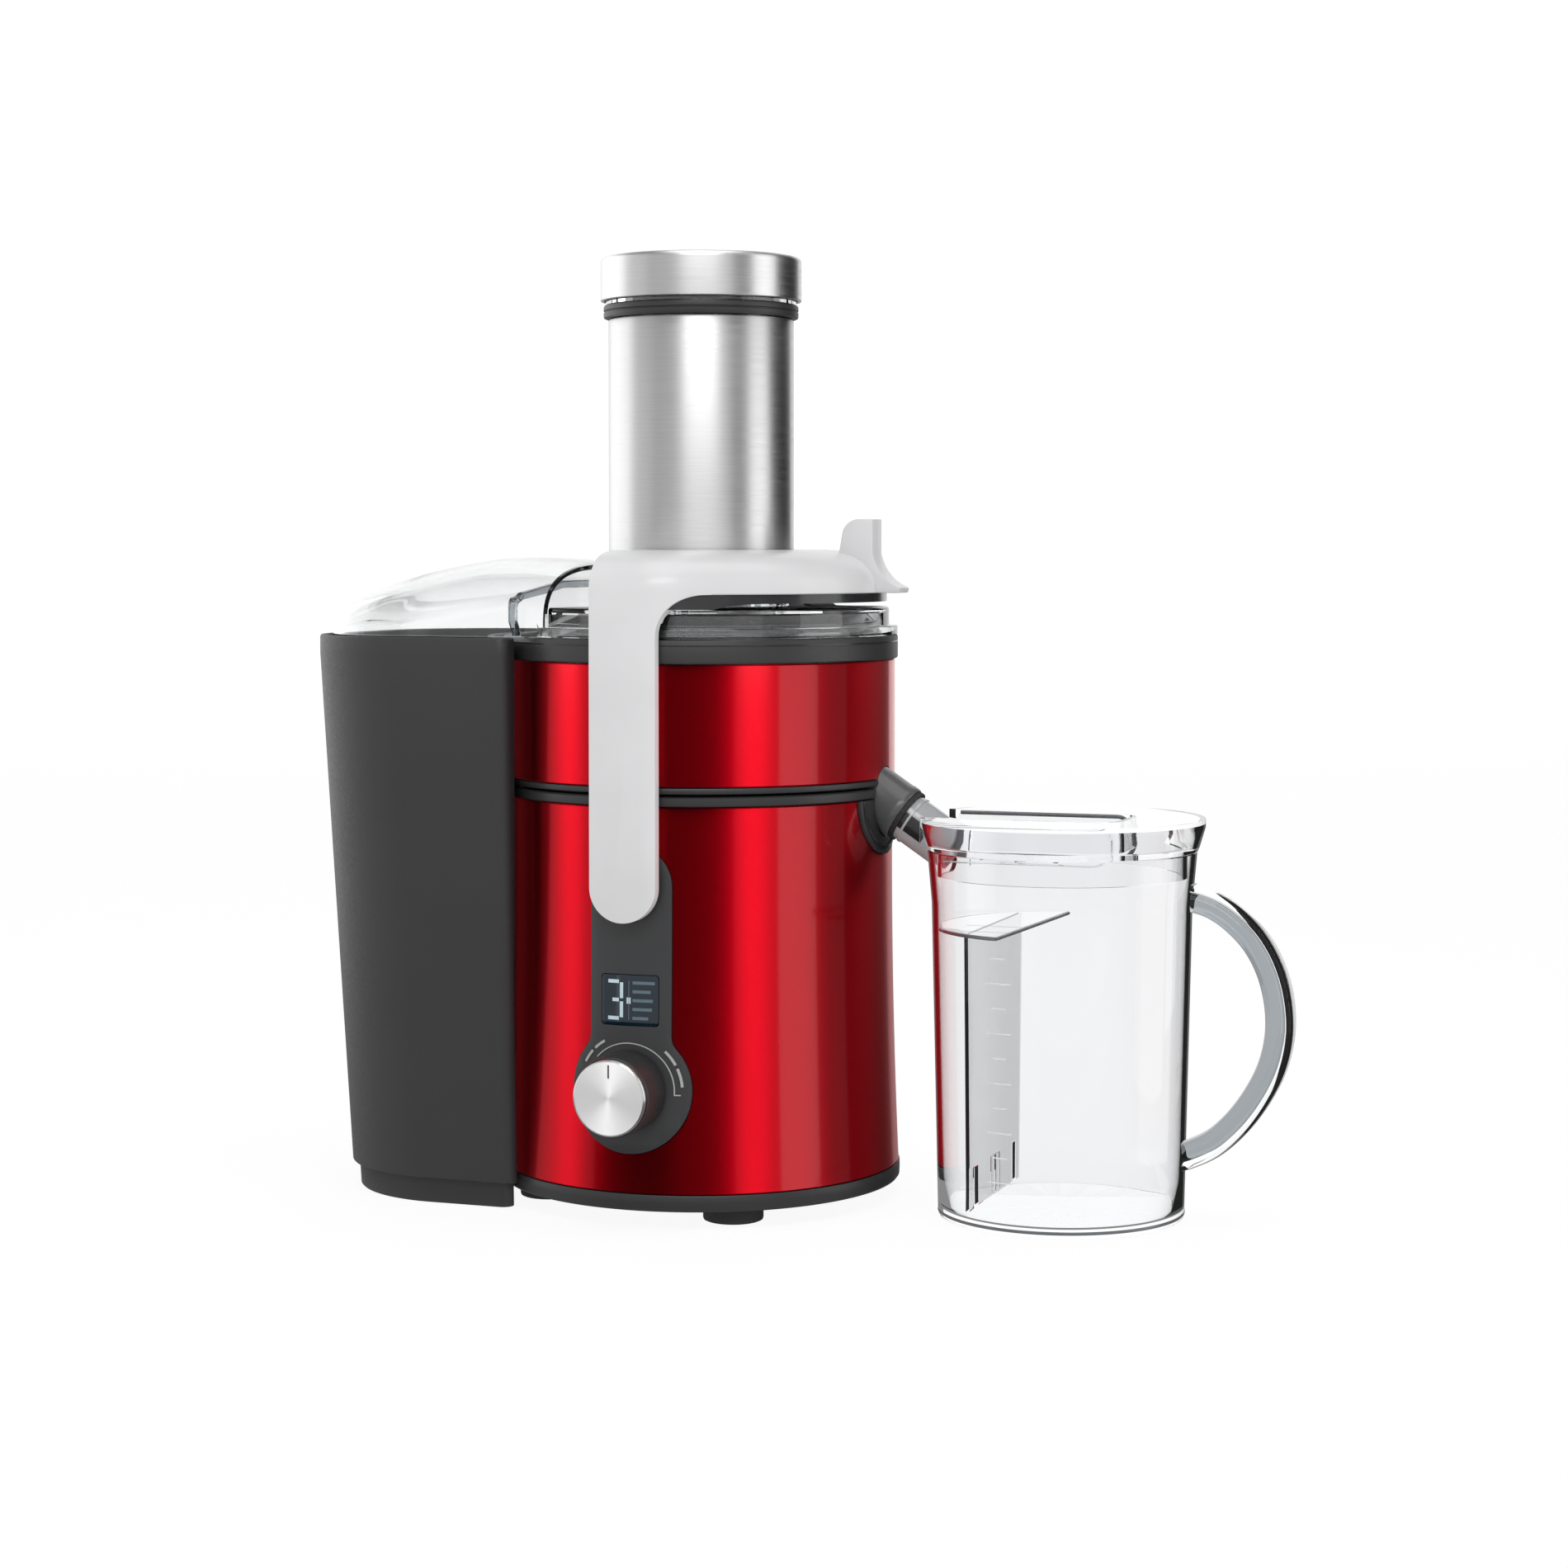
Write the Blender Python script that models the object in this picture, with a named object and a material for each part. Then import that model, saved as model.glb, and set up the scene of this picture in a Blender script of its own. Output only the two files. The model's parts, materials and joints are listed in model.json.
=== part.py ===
"""Centrifugal juicer: motor base, filter bowl, clear cover, pusher, safety arm, pulp bin and juice jug.

Metres, +Z up, z = 0 on the table. The front faces -Y, and the juice spout points to +X. Every outline below is
drawn about the juicer's own axis. ROOT_X and ROOT_Y then move that axis, so that the origin of the scene lies
under the middle of the whole object.
"""

import math

import bmesh
import bpy
from mathutils import Matrix, Vector

# Where the juicer's axis stands in the scene.
ROOT_X = -0.04758
ROOT_Y = 0.00575

# Gap left between pieces that rest on each other.
TOUCH = 0.0003

# Motor base.
FOOT_ANGLE = -58.0
FOOT_HEIGHT = 0.008
FOOT_RADIUS = 0.013
FOOT_CIRCLE = 0.069
BASE_RING_TOP = 0.0145
BODY_RADIUS = 0.0865
LOWER_RADIUS = 0.0853
FLARE = 0.0031
SKIN_WALL = 0.0018
SCREW_CIRCLE = 0.0620
GLAND_Z = 0.0350
BIB_RADIUS = 0.0246
SEAM_BASE_BOTTOM = 0.1784
SEAM_BASE_TOP = 0.1833

# Filter bowl.
BOWL_TRIM_BOTTOM = 0.1839
BOWL_TRIM_TOP = 0.1864
UPPER_SKIN_TOP = 0.2386
BOWL_TOP = 0.2490
BAND_RADIUS = 0.0878
BOWL_WALL_OUTSIDE = 0.0838
BOWL_WALL_INSIDE = 0.0816

# Cover, chute and pusher.
COVER_BOTTOM = 0.2493
COVER_FLANGE_TOP = 0.2535
COVER_TOP = 0.2620
COVER_STEP_RADIUS = 0.0840
COVER_WALL = 0.0025
DOME_INSET = 0.0016
DOME_CREST = 0.0840
DOME_HEIGHT = 0.0325
DOME_EDGE = 0.0022
DOME_RIGHT = -0.0430
CHUTE_BORE = 0.0380
CHUTE_LINER_OUTSIDE = 0.0397
CHUTE_SLEEVE_RADIUS = 0.0413
CHUTE_BOTTOM = 0.2200
CHUTE_TOP = 0.3890
SLEEVE_BOTTOM = 0.2832
CHUTE_RING_TOP = 0.3950
CHUTE_RING_RADIUS = 0.0434
PUSHER_BOTTOM = 0.2320
PUSHER_CAP_BOTTOM = 0.3970
PUSHER_CAP_TOP = 0.4166
PUSHER_CAP_RADIUS = 0.0448

# Safety arm.
ARM_PIVOT_Z = 0.1446
ARM_HALF_WIDTH = 0.0152
ARM_OUTSIDE = 0.0950
ARM_INSIDE = 0.0895
ARM_TOP = 0.2868
ARM_RING_INSIDE = 0.0435
ARM_RING_OUTSIDE = 0.0845
ARM_UNDERSIDE_RADIUS = 0.1450
ARM_FILLET = 0.0180
ARM_SKIRT = 0.2680
CROWN_HALF_DEPTH = 0.0920
ARM_PLACE = (0, 0, ARM_PIVOT_Z)
PIN_RADIUS = 0.0040
PIN_HOLE = 0.0044

# Control panel.
PANEL_HALF_WIDTH = 0.0183
PANEL_CIRCLE = 0.0270
KNOB_Z = 0.0582
KNOB_RADIUS = 0.0172
KNOB_PLACE = (0, -0.0880, KNOB_Z)
DISPLAY_Z = 0.0964
DISPLAY_WIDTH = 0.0257
DISPLAY_HEIGHT = 0.0213

# Spout.
SPOUT_SLOPE = math.radians(33.7)
SPOUT_X = 0.0800
SPOUT_Z = 0.1810
NOZZLE_BORE = 0.0085
NOZZLE_RADIUS = 0.01075
COLLAR_RADIUS = 0.0125

# Pulp bin.
BIN_LEFT = -0.1715
BIN_HALF_WIDTH = 0.0800
BIN_CORNER = 0.0580
BIN_RIGHT = -0.0600
BIN_HOLLOW_RADIUS = 0.0925
BIN_TOP = 0.2489
BIN_DRAFT = 0.0124
BIN_WALL = 0.0024
BIN_PLACE = (-0.1150, 0, 0)

# Juice jug.
JUG_X = 0.1660
JUG_BASE_RADIUS = 0.0530
JUG_RIM_RADIUS = 0.0580
JUG_RIM_Z = 0.1580
JUG_WALL = 0.0024
LID_TOP = 0.1720
LID_RIM_RADIUS = 0.0623
LID_CHANNEL = 0.0225

# Smoothness of round shapes.
ROUND = 40
FINE = 12
SMALL = 12
MEDIUM = 20
# Fraction of a side by which cutters are turned, so that their edges never line up with the edges they cut.
CUTTER_PHASE = 0.23


# ---------------------------------------------------------------- materials

MATERIALS = {
    "red metallic": ((0.45, 0.004, 0.012), 0.28, 0.85, 0.0),
    "dark plastic": ((0.045, 0.045, 0.048), 0.45, 0.0, 0.0),
    "panel plastic": ((0.050, 0.052, 0.056), 0.35, 0.0, 0.0),
    "satin silver plastic": ((0.62, 0.62, 0.63), 0.38, 0.25, 0.0),
    "brushed steel": ((0.62, 0.62, 0.62), 0.30, 1.0, 0.0),
    "bright steel": ((0.70, 0.70, 0.70), 0.22, 1.0, 0.0),
    "aluminium": ((0.70, 0.70, 0.71), 0.35, 1.0, 0.0),
    "clear plastic": ((0.93, 0.95, 0.96), 0.06, 0.0, 1.0),
    "smoky plastic": ((0.35, 0.36, 0.38), 0.15, 0.0, 0.6),
    "rubber": ((0.030, 0.030, 0.032), 0.75, 0.0, 0.0),
    "copper": ((0.80, 0.36, 0.16), 0.35, 1.0, 0.0),
    "iron laminations": ((0.25, 0.25, 0.27), 0.45, 1.0, 0.0),
    "circuit board": ((0.02, 0.16, 0.06), 0.55, 0.0, 0.0),
    "display glass": ((0.010, 0.030, 0.050), 0.08, 0.0, 0.0),
}


def material(name):
    """The named material, made on first use."""
    found = bpy.data.materials.get(name)
    if found:
        return found
    colour, roughness, metallic, transmission = MATERIALS[name]
    made = bpy.data.materials.new(name)
    made.use_nodes = True
    made.diffuse_color = (*colour, 1.0)
    shader = made.node_tree.nodes["Principled BSDF"]
    shader.inputs["Base Color"].default_value = (*colour, 1.0)
    shader.inputs["Roughness"].default_value = roughness
    shader.inputs["Metallic"].default_value = metallic
    shader.inputs["Transmission Weight"].default_value = transmission
    return made


# ---------------------------------------------------------------- outlines


def arc(centre, radius, start, end, steps):
    """Points on an arc, from start to end in degrees, both ends included."""
    points = []
    for step in range(steps + 1):
        angle = math.radians(start + (end - start) * step / steps)
        points.append((centre[0] + radius * math.cos(angle), centre[1] + radius * math.sin(angle)))
    return points


def rounded(corners, steps=4):
    """A closed outline through corners of (x, y, radius), with each corner rounded by its radius."""
    outline = []
    count = len(corners)
    for index, (x, y, radius) in enumerate(corners):
        here = Vector((x, y))
        if radius == 0:
            outline.append((x, y))
            continue
        before = Vector(corners[index - 1][:2]) - here
        after = Vector(corners[(index + 1) % count][:2]) - here
        before.normalize()
        after.normalize()
        half = before.angle(after) / 2
        reach = radius / math.tan(half)
        centre = here + (before + after).normalized() * (radius / math.sin(half))
        first = here + before * reach - centre
        last = here + after * reach - centre
        start = math.degrees(math.atan2(first.y, first.x))
        turn = (math.degrees(math.atan2(last.y, last.x)) - start + 180) % 360 - 180
        outline += arc(tuple(centre), radius, start, start + turn, steps)
    return outline


def box_outline(x0, y0, x1, y1, radius=0.0):
    """A rectangle's outline, with rounded corners if radius is given."""
    corners = [(x0, y0, radius), (x1, y0, radius), (x1, y1, radius), (x0, y1, radius)]
    return rounded(corners)


# ---------------------------------------------------------------- solids


def add_object(name, mesh_data, finish, origin=(0, 0, 0)):
    """Puts a bmesh, drawn about the juicer's axis, in the scene with its origin at the given point."""
    bmesh.ops.recalc_face_normals(mesh_data, faces=mesh_data.faces)
    mesh_data.transform(Matrix.Translation(-Vector(origin)))
    mesh = bpy.data.meshes.new(name)
    mesh_data.to_mesh(mesh)
    mesh_data.free()
    made = bpy.data.objects.new(name, mesh)
    made.location = origin
    made.parent = ROOT
    bpy.context.scene.collection.objects.link(made)
    if finish:
        mesh.materials.append(material(finish))
    mesh.shade_smooth()
    mesh.set_sharp_from_angle(angle=math.radians(32))
    return made


def ring_mesh(rings, close_ends=True):
    """A bmesh through equal rings of points. It is capped at both ends, or joined end to end."""
    made = bmesh.new()
    loops = []
    for ring in rings:
        loops.append([made.verts.new(point) for point in ring])
    size = len(rings[0])
    pairs = list(zip(loops, loops[1:]))
    if not close_ends:
        pairs.append((loops[-1], loops[0]))
    for lower, upper in pairs:
        for index in range(size):
            following = (index + 1) % size
            made.faces.new((lower[index], lower[following], upper[following], upper[index]))
    if close_ends:
        made.faces.new(loops[0])
        made.faces.new(loops[-1])
    return made


def turned_mesh(profile, sides=ROUND, axis=(0, 0), phase=0.5):
    """A bmesh turned about the vertical line at axis, from a closed profile of (radius, z) points."""
    made = bmesh.new()
    columns = []
    for side in range(sides):
        angle = 2 * math.pi * (side + phase) / sides
        column = []
        for index, (radius, z) in enumerate(profile):
            if radius < 1e-9 and side > 0:
                column.append(columns[0][index])
            else:
                x = axis[0] + radius * math.cos(angle)
                y = axis[1] + radius * math.sin(angle)
                column.append(made.verts.new((x, y, z)))
        columns.append(column)
    count = len(profile)
    for side in range(sides):
        here = columns[side]
        there = columns[(side + 1) % sides]
        for index in range(count):
            following = (index + 1) % count
            corners = []
            for vertex in (here[index], there[index], there[following], here[following]):
                if vertex not in corners:
                    corners.append(vertex)
            if len(corners) > 2:
                made.faces.new(corners)
    return made


def turned(name, profile, finish, sides=ROUND, axis=(0, 0), origin=None):
    """An object turned about a vertical line."""
    return add_object(name, turned_mesh(profile, sides, axis), finish, origin or (axis[0], axis[1], 0))


def prism_mesh(outline, bottom, top):
    """A bmesh of a flat outline between two heights."""
    return ring_mesh([[(x, y, bottom) for x, y in outline], [(x, y, top) for x, y in outline]])


def prism(name, outline, bottom, top, finish, origin=(0, 0, 0)):
    """An upright prism."""
    return add_object(name, prism_mesh(outline, bottom, top), finish, origin)


def front_prism_mesh(outline, near, far):
    """A bmesh of an outline of (x, z) points, between two depths along Y."""
    return ring_mesh([[(x, near, z) for x, z in outline], [(x, far, z) for x, z in outline]])


def front_prism(name, outline, near, far, finish, origin=(0, 0, 0)):
    """A prism that lies along Y."""
    return add_object(name, front_prism_mesh(outline, near, far), finish, origin)


def side_prism_mesh(outline, left, right):
    """A bmesh of an outline of (y, z) points, between two places along X."""
    return ring_mesh([[(left, y, z) for y, z in outline], [(right, y, z) for y, z in outline]])


def tilted_turned_mesh(profile, start, slope, sides=MEDIUM):
    """A bmesh turned about a line that runs from start towards +X and down by slope."""
    made = turned_mesh(profile, sides, (0, 0), CUTTER_PHASE)
    aim = Matrix.Rotation(math.pi / 2 + slope, 4, "Y")
    made.transform(Matrix.Translation(Vector(start)) @ aim)
    return made


def lying_turned_mesh(profile, centre, sides=MEDIUM):
    """A bmesh turned about a line along -Y through centre. The profile's heights run towards -Y."""
    made = turned_mesh(profile, sides, (0, 0), CUTTER_PHASE)
    aim = Matrix.Rotation(math.pi / 2, 4, "X")
    made.transform(Matrix.Translation(Vector(centre)) @ aim)
    return made


def boolean(target, cutter_mesh, operation="DIFFERENCE"):
    """Adds a Boolean with a hidden helper made from cutter_mesh."""
    helper = add_object(target.name + ".tool", cutter_mesh, None)
    helper.hide_render = True
    helper.display_type = "WIRE"
    modifier = target.modifiers.new(operation.title(), "BOOLEAN")
    modifier.operation = operation
    modifier.solver = "EXACT"
    modifier.object = helper
    return target


def cylinder_mesh(radius, bottom, top, centre=(0, 0), sides=ROUND):
    """A bmesh of an upright cylinder."""
    profile = [(0, bottom), (radius, bottom), (radius, top), (0, top)]
    return turned_mesh(profile, sides, centre, CUTTER_PHASE)


def tube_profile(inner, outer, bottom, top):
    """The profile of a plain tube."""
    return [(inner, bottom), (outer, bottom), (outer, top), (inner, top)]


def both_ways(points):
    """The points, followed by their mirror images in x, so that they close a symmetric outline."""
    return points + [(-x, y) for x, y in reversed(points)]


# ---------------------------------------------------------------- motor base


def lower_radius(z):
    """Outer radius of the lower skin, which flares gently towards the table."""
    reach = max(0.0, (0.1550 - z) / (0.1550 - BASE_RING_TOP))
    return LOWER_RADIUS + FLARE * reach**2


def skin_levels(bottom, top, steps=4):
    """Heights spaced evenly from bottom to top."""
    return [bottom + (top - bottom) * step / steps for step in range(steps + 1)]


def skin_profile(lift, thickness, bottom, top):
    """Profile of a shell that follows the lower skin, lifted outward by lift."""
    levels = skin_levels(bottom, top)
    outside = [(lower_radius(z) + lift, z) for z in levels]
    inside = [(lower_radius(z) + lift - thickness, z) for z in reversed(levels)]
    return outside + inside


def skin_patch(name, outline, lift, thickness, finish, turn=0.0):
    """A piece of shell with an outline of (x, z) points, on the front or turned from there about the axis."""
    bottom = min(z for _, z in outline) - 0.004
    top = max(z for _, z in outline) + 0.004
    patch = turned(name, skin_profile(lift, thickness, bottom, top), finish, ROUND)
    cutter = front_prism_mesh(outline, -0.110, -0.050)
    cutter.transform(Matrix.Rotation(turn, 4, "Z"))
    return boolean(patch, cutter, "INTERSECT")


def panel_outline(grow=0.0):
    """The control panel's keyhole outline, grown outward by grow."""
    half = PANEL_HALF_WIDTH + grow
    circle = PANEL_CIRCLE + grow
    fillet = 0.0080 - grow
    rise = math.sqrt((circle + fillet) ** 2 - (half + fillet) ** 2)
    tilt = math.degrees(math.atan2(rise, half + fillet))
    outline = arc((0, ARM_PIVOT_Z), half, 0, 180, 12)
    outline += arc((-half - fillet, KNOB_Z + rise), fillet, 0, -tilt, 3)
    outline += arc((0, KNOB_Z), circle, 180 - tilt, 360 + tilt, 18)[1:-1]
    outline += arc((half + fillet, KNOB_Z + rise), fillet, 180 + tilt, 180, 3)
    return outline


def bib_outline(grow=0.0):
    """The half disc under the spout."""
    return arc((0, SEAM_BASE_BOTTOM - TOUCH), BIB_RADIUS + grow, 180, 360, 12)


def spout_sleeve_mesh(radius, start, end):
    """A cylinder on the spout's axis, between two distances from its reference point."""
    profile = [(0, start), (radius, start), (radius, end), (0, end)]
    return tilted_turned_mesh(profile, (SPOUT_X, 0, SPOUT_Z), SPOUT_SLOPE)


def make_base():
    """Base plate, feet, screws, red skin, top deck, spout bib and cord gland."""
    plate_profile = [
        (0, 0.0083), (0.0850, 0.0083), (0.0862, 0.0070), (0.0880, 0.0070), (0.0888, 0.0080),
        (0.0888, 0.0142), (0.0860, 0.0142), (0.0850, 0.0110), (0, 0.0110),
    ]
    plate = turned("base_plate", plate_profile, "dark plastic")
    slots = bmesh.new()
    for index in range(6):
        slot = prism_mesh(box_outline(0.024, -0.0022, 0.046, 0.0022), 0.0, 0.02)
        slot.transform(Matrix.Rotation(math.radians(60 * index + 10), 4, "Z"))
        merge_into(slots, slot)
    for index in range(4):
        centre = polar(SCREW_CIRCLE, FOOT_ANGLE + 45 + 90 * index)
        merge_into(slots, cylinder_mesh(0.0023, 0.0, 0.02, centre, 12))
    boolean(plate, slots)
    for index in range(4):
        centre = polar(FOOT_CIRCLE, FOOT_ANGLE + 90 * index)
        foot_profile = [
            (0, 0), (FOOT_RADIUS - 0.001, 0), (FOOT_RADIUS, 0.001),
            (FOOT_RADIUS, FOOT_HEIGHT), (0, FOOT_HEIGHT),
        ]
        turned(f"foot_{index + 1}", foot_profile, "rubber", MEDIUM, centre)
        centre = polar(SCREW_CIRCLE, FOOT_ANGLE + 45 + 90 * index)
        screw_profile = [
            (0.0012, 0.0060), (0.0032, 0.0060), (0.0036, 0.0068), (0.0036, 0.0080),
            (0.0019, 0.0080), (0.0019, 0.0150), (0, 0.0160), (0, 0.0072), (0.0012, 0.0072),
        ]
        turned(f"base_screw_{index + 1}", screw_profile, "bright steel", SMALL, centre)

    skin = turned(
        "lower_red_skin",
        skin_profile(0, SKIN_WALL, BASE_RING_TOP, SEAM_BASE_BOTTOM - TOUCH),
        "red metallic", ROUND,
    )
    boolean(skin, front_prism_mesh(panel_outline(TOUCH), -0.110, -0.050))
    notch = front_prism_mesh(bib_outline(TOUCH) + [(BIB_RADIUS, 0.19), (-BIB_RADIUS, 0.19)], -0.110, -0.050)
    notch.transform(Matrix.Rotation(math.pi / 2, 4, "Z"))
    boolean(skin, notch)
    rear_holes = bmesh.new()
    for z, radius in ((ARM_PIVOT_Z, PIN_HOLE), (GLAND_Z, 0.0068)):
        merge_into(rear_holes, rear_hole_mesh(radius, z))
    boolean(skin, rear_holes)

    deck_profile = [
        (0.0125, 0.1665), (0.0160, 0.1690), (0.0700, 0.1690), (0.0775, 0.1762), (0.0812, 0.1785), (0.0864, 0.1787),
        (0.0868, SEAM_BASE_TOP - 0.0005), (0.0790, SEAM_BASE_TOP), (0.0690, 0.1715), (0.0160, 0.1715),
        (0.0155, 0.1770), (0.0125, 0.1770),
    ]
    deck = turned("base_top_deck", deck_profile, "dark plastic", ROUND)
    boolean(deck, spout_sleeve_mesh(COLLAR_RADIUS + 0.0009, -0.040, 0.040))
    bib = skin_patch("spout_bib", bib_outline(), 0.0012, 0.0034, "dark plastic", math.pi / 2)
    boolean(bib, spout_sleeve_mesh(COLLAR_RADIUS + 0.0009, -0.040, 0.040))

    gland_profile = [
        (0.0035, 0.0790), (0.0064, 0.0790), (0.0064, 0.0880), (0.0095, 0.0880), (0.0090, 0.0905),
        (0.0060, 0.0930), (0.0056, 0.0985), (0.0035, 0.0985),
    ]
    gland = lying_turned_mesh(gland_profile, (0, 0, GLAND_Z), MEDIUM)
    gland.transform(Matrix.Rotation(math.pi, 4, "Z"))
    add_object("cord_gland", gland, "rubber")


def rear_hole_mesh(radius, z):
    """A cutter along +Y, through the rear wall at height z."""
    profile = [(0, 0.060), (radius, 0.060), (radius, 0.110), (0, 0.110)]
    made = lying_turned_mesh(profile, (0, 0, z), SMALL)
    made.transform(Matrix.Rotation(math.pi, 4, "Z"))
    return made


def polar(radius, degrees):
    """The point at that radius and angle about the juicer's axis."""
    return (radius * math.cos(math.radians(degrees)), radius * math.sin(math.radians(degrees)))


def merge_into(target, extra):
    """Moves the faces of the second bmesh into the first."""
    buffer = bpy.data.meshes.new("buffer")
    extra.to_mesh(buffer)
    extra.free()
    target.from_mesh(buffer)
    bpy.data.meshes.remove(buffer)


def make_arm_pins():
    """The two pivot pins that the arm swings on."""
    profile = [
        (0, 0.0745), (0.0080, 0.0745), (0.0080, 0.0770), (PIN_RADIUS, 0.0770), (PIN_RADIUS, 0.0920), (0, 0.0920),
    ]
    for name, turn in (("arm_pin_front", 0.0), ("arm_pin_rear", math.pi)):
        pin = lying_turned_mesh(profile, (0, 0, ARM_PIVOT_Z), SMALL)
        pin.transform(Matrix.Rotation(turn, 4, "Z"))
        add_object(name, pin, "bright steel")
    switch = front_prism_mesh(box_outline(0.0120, 0.1380, 0.0320, 0.1500, 0.0012), -0.0720, -0.0640)
    add_object("safety_switch", switch, "dark plastic")


# ---------------------------------------------------------------- control panel


def make_panel():
    """Panel, display, board, selector and knob."""
    panel = skin_patch("control_panel", panel_outline(), 0.0006, 0.0026, "panel plastic")
    openings = bmesh.new()
    window = display_outline(TOUCH)
    merge_into(openings, front_prism_mesh(window, -0.110, -0.050))
    hole = lying_turned_mesh([(0, 0.06), (0.0045, 0.06), (0.0045, 0.11), (0, 0.11)], (0, 0, KNOB_Z), SMALL)
    merge_into(openings, hole)
    hole = lying_turned_mesh([(0, 0.06), (PIN_HOLE, 0.06), (PIN_HOLE, 0.11), (0, 0.11)], (0, 0, ARM_PIVOT_Z), SMALL)
    merge_into(openings, hole)
    boolean(panel, openings)
    skin_patch("display_window", display_outline(0), 0.0006, 0.0014, "display glass")
    half_width = DISPLAY_WIDTH / 2 - 0.0010
    half_height = DISPLAY_HEIGHT / 2 - 0.0010
    screen = box_outline(-half_width, DISPLAY_Z - half_height, half_width, DISPLAY_Z + half_height)
    front_prism("display_module", screen, -0.0822, -0.0800, "display glass")
    board = box_outline(-0.0170, 0.0340, 0.0170, 0.1240, 0.0010)
    front_prism("control_board", board, -0.0745, -0.0729, "circuit board")
    selector = box_outline(-0.0065, KNOB_Z - 0.0065, 0.0065, KNOB_Z + 0.0065, 0.0008)
    front_prism("selector_switch", selector, -0.0802, -0.0748, "bright steel")

    body_profile = [
        (0, 0.0806), (0.0030, 0.0806), (0.0030, 0.0886), (0.0164, 0.0886), (KNOB_RADIUS, 0.0896),
        (KNOB_RADIUS, 0.1074), (0.0168, 0.1080), (0.0165, 0.1080), (0.0165, 0.1072), (0, 0.1072),
    ]
    add_object("knob_body", lying_turned_mesh(body_profile, (0, 0, KNOB_Z), MEDIUM), "dark plastic", KNOB_PLACE)
    face_profile = [
        (0, 0.1075), (0.0162, 0.1075), (0.0162, 0.1092), (0.0156, 0.1100), (0, 0.1100),
    ]
    face = add_object("knob_face", lying_turned_mesh(face_profile, (0, 0, KNOB_Z), MEDIUM), "aluminium", KNOB_PLACE)
    index_line = box_outline(-0.0004, KNOB_Z + 0.0085, 0.0004, KNOB_Z + 0.0140)
    boolean(face, front_prism_mesh(index_line, -0.112, -0.1097))


def display_outline(grow):
    """The display's outline, grown outward by grow."""
    half_width = DISPLAY_WIDTH / 2 + grow
    half_height = DISPLAY_HEIGHT / 2 + grow
    return box_outline(-half_width, DISPLAY_Z - half_height, half_width, DISPLAY_Z + half_height, 0.0016)


# ---------------------------------------------------------------- motor


def sector_outline(inner, outer, start, end, steps=3):
    """A ring sector's outline, with angles in degrees."""
    return arc((0, 0), outer, start, end, steps) + arc((0, 0), inner, end, start, steps)


def star_outline(inner, outer, count, share):
    """The outline of a toothed wheel. Each tooth takes the given share of its pitch."""
    outline = []
    pitch = 360 / count
    for index in range(count):
        start = pitch * index
        outline += arc((0, 0), outer, start, start + pitch * share, 1)
        outline += arc((0, 0), inner, start + pitch * share, start + pitch, 1)
    return outline


def make_motor():
    """The motor's fixed pieces, inside their housing."""
    housing_profile = [
        (0.0560, 0.0113), (0.0700, 0.0113), (0.0700, 0.0138), (0.0580, 0.0138),
        (0.0580, 0.1620), (0.0150, 0.1620), (0.0150, 0.1595), (0.0560, 0.1595),
    ]
    housing = turned("motor_housing", housing_profile, "dark plastic")
    vents = bmesh.new()
    for index in range(8):
        vent = prism_mesh(box_outline(0.050, -0.0030, 0.064, 0.0030), 0.0180, 0.0330)
        vent.transform(Matrix.Rotation(math.radians(45 * index), 4, "Z"))
        merge_into(vents, vent)
    for index in range(4):
        centre = polar(SCREW_CIRCLE, FOOT_ANGLE + 45 + 90 * index)
        merge_into(vents, cylinder_mesh(0.0023, 0.0100, 0.0160, centre, 12))
    boolean(housing, vents)

    lower_bracket = [
        (0.0113, 0.0345), (0.0150, 0.0345), (0.0150, 0.0395), (0.0555, 0.0395), (0.0555, 0.0425), (0.0113, 0.0425),
    ]
    upper_bracket = [
        (0.0113, 0.1215), (0.0555, 0.1215), (0.0555, 0.1245), (0.0150, 0.1245), (0.0150, 0.1300), (0.0113, 0.1300),
    ]
    for name, profile in (("motor_lower_bracket", lower_bracket), ("motor_upper_bracket", upper_bracket)):
        bracket = turned(name, profile, "aluminium")
        windows = bmesh.new()
        for index in range(4):
            window = sector_outline(0.0220, 0.0480, 90 * index - 28, 90 * index + 28)
            merge_into(windows, prism_mesh(window, 0.030, 0.132))
        boolean(bracket, windows)
    turned("lower_bearing", tube_profile(0.0043, 0.0110, 0.0350, 0.0420), "bright steel", MEDIUM)
    turned("upper_bearing", tube_profile(0.0043, 0.0110, 0.1222, 0.1292), "bright steel", MEDIUM)
    turned("shaft_seal", tube_profile(0.0092, 0.0122, 0.1675, 0.1740), "rubber", MEDIUM)

    stator = turned("motor_stator", tube_profile(0.0270, 0.0430, 0.0580, 0.0980), "iron laminations")
    slots = bmesh.new()
    for middle in (-61, 61, 119, 241):
        merge_into(slots, prism_mesh(sector_outline(0.0200, 0.0402, middle - 11, middle + 11), 0.05, 0.11))
    boolean(stator, slots)
    for name, middle in (("field_coil_right", 0), ("field_coil_left", 180)):
        coil = prism(name, sector_outline(0.0285, 0.0395, middle - 70, middle + 70, SMALL), 0.0480, 0.1080, "copper")
        window = sector_outline(0.0200, 0.0500, middle - 52, middle + 52, SMALL)
        boolean(coil, prism_mesh(window, 0.0575, 0.0985))
    for name, side in (("brush_holder_front", -1), ("brush_holder_rear", 1)):
        near = min(side * 0.0142, side * 0.0410)
        holder = box_outline(-0.0045, near, 0.0045, near + 0.0268, 0.0006)
        prism(name, holder, 0.1040, 0.1120, "copper")


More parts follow.
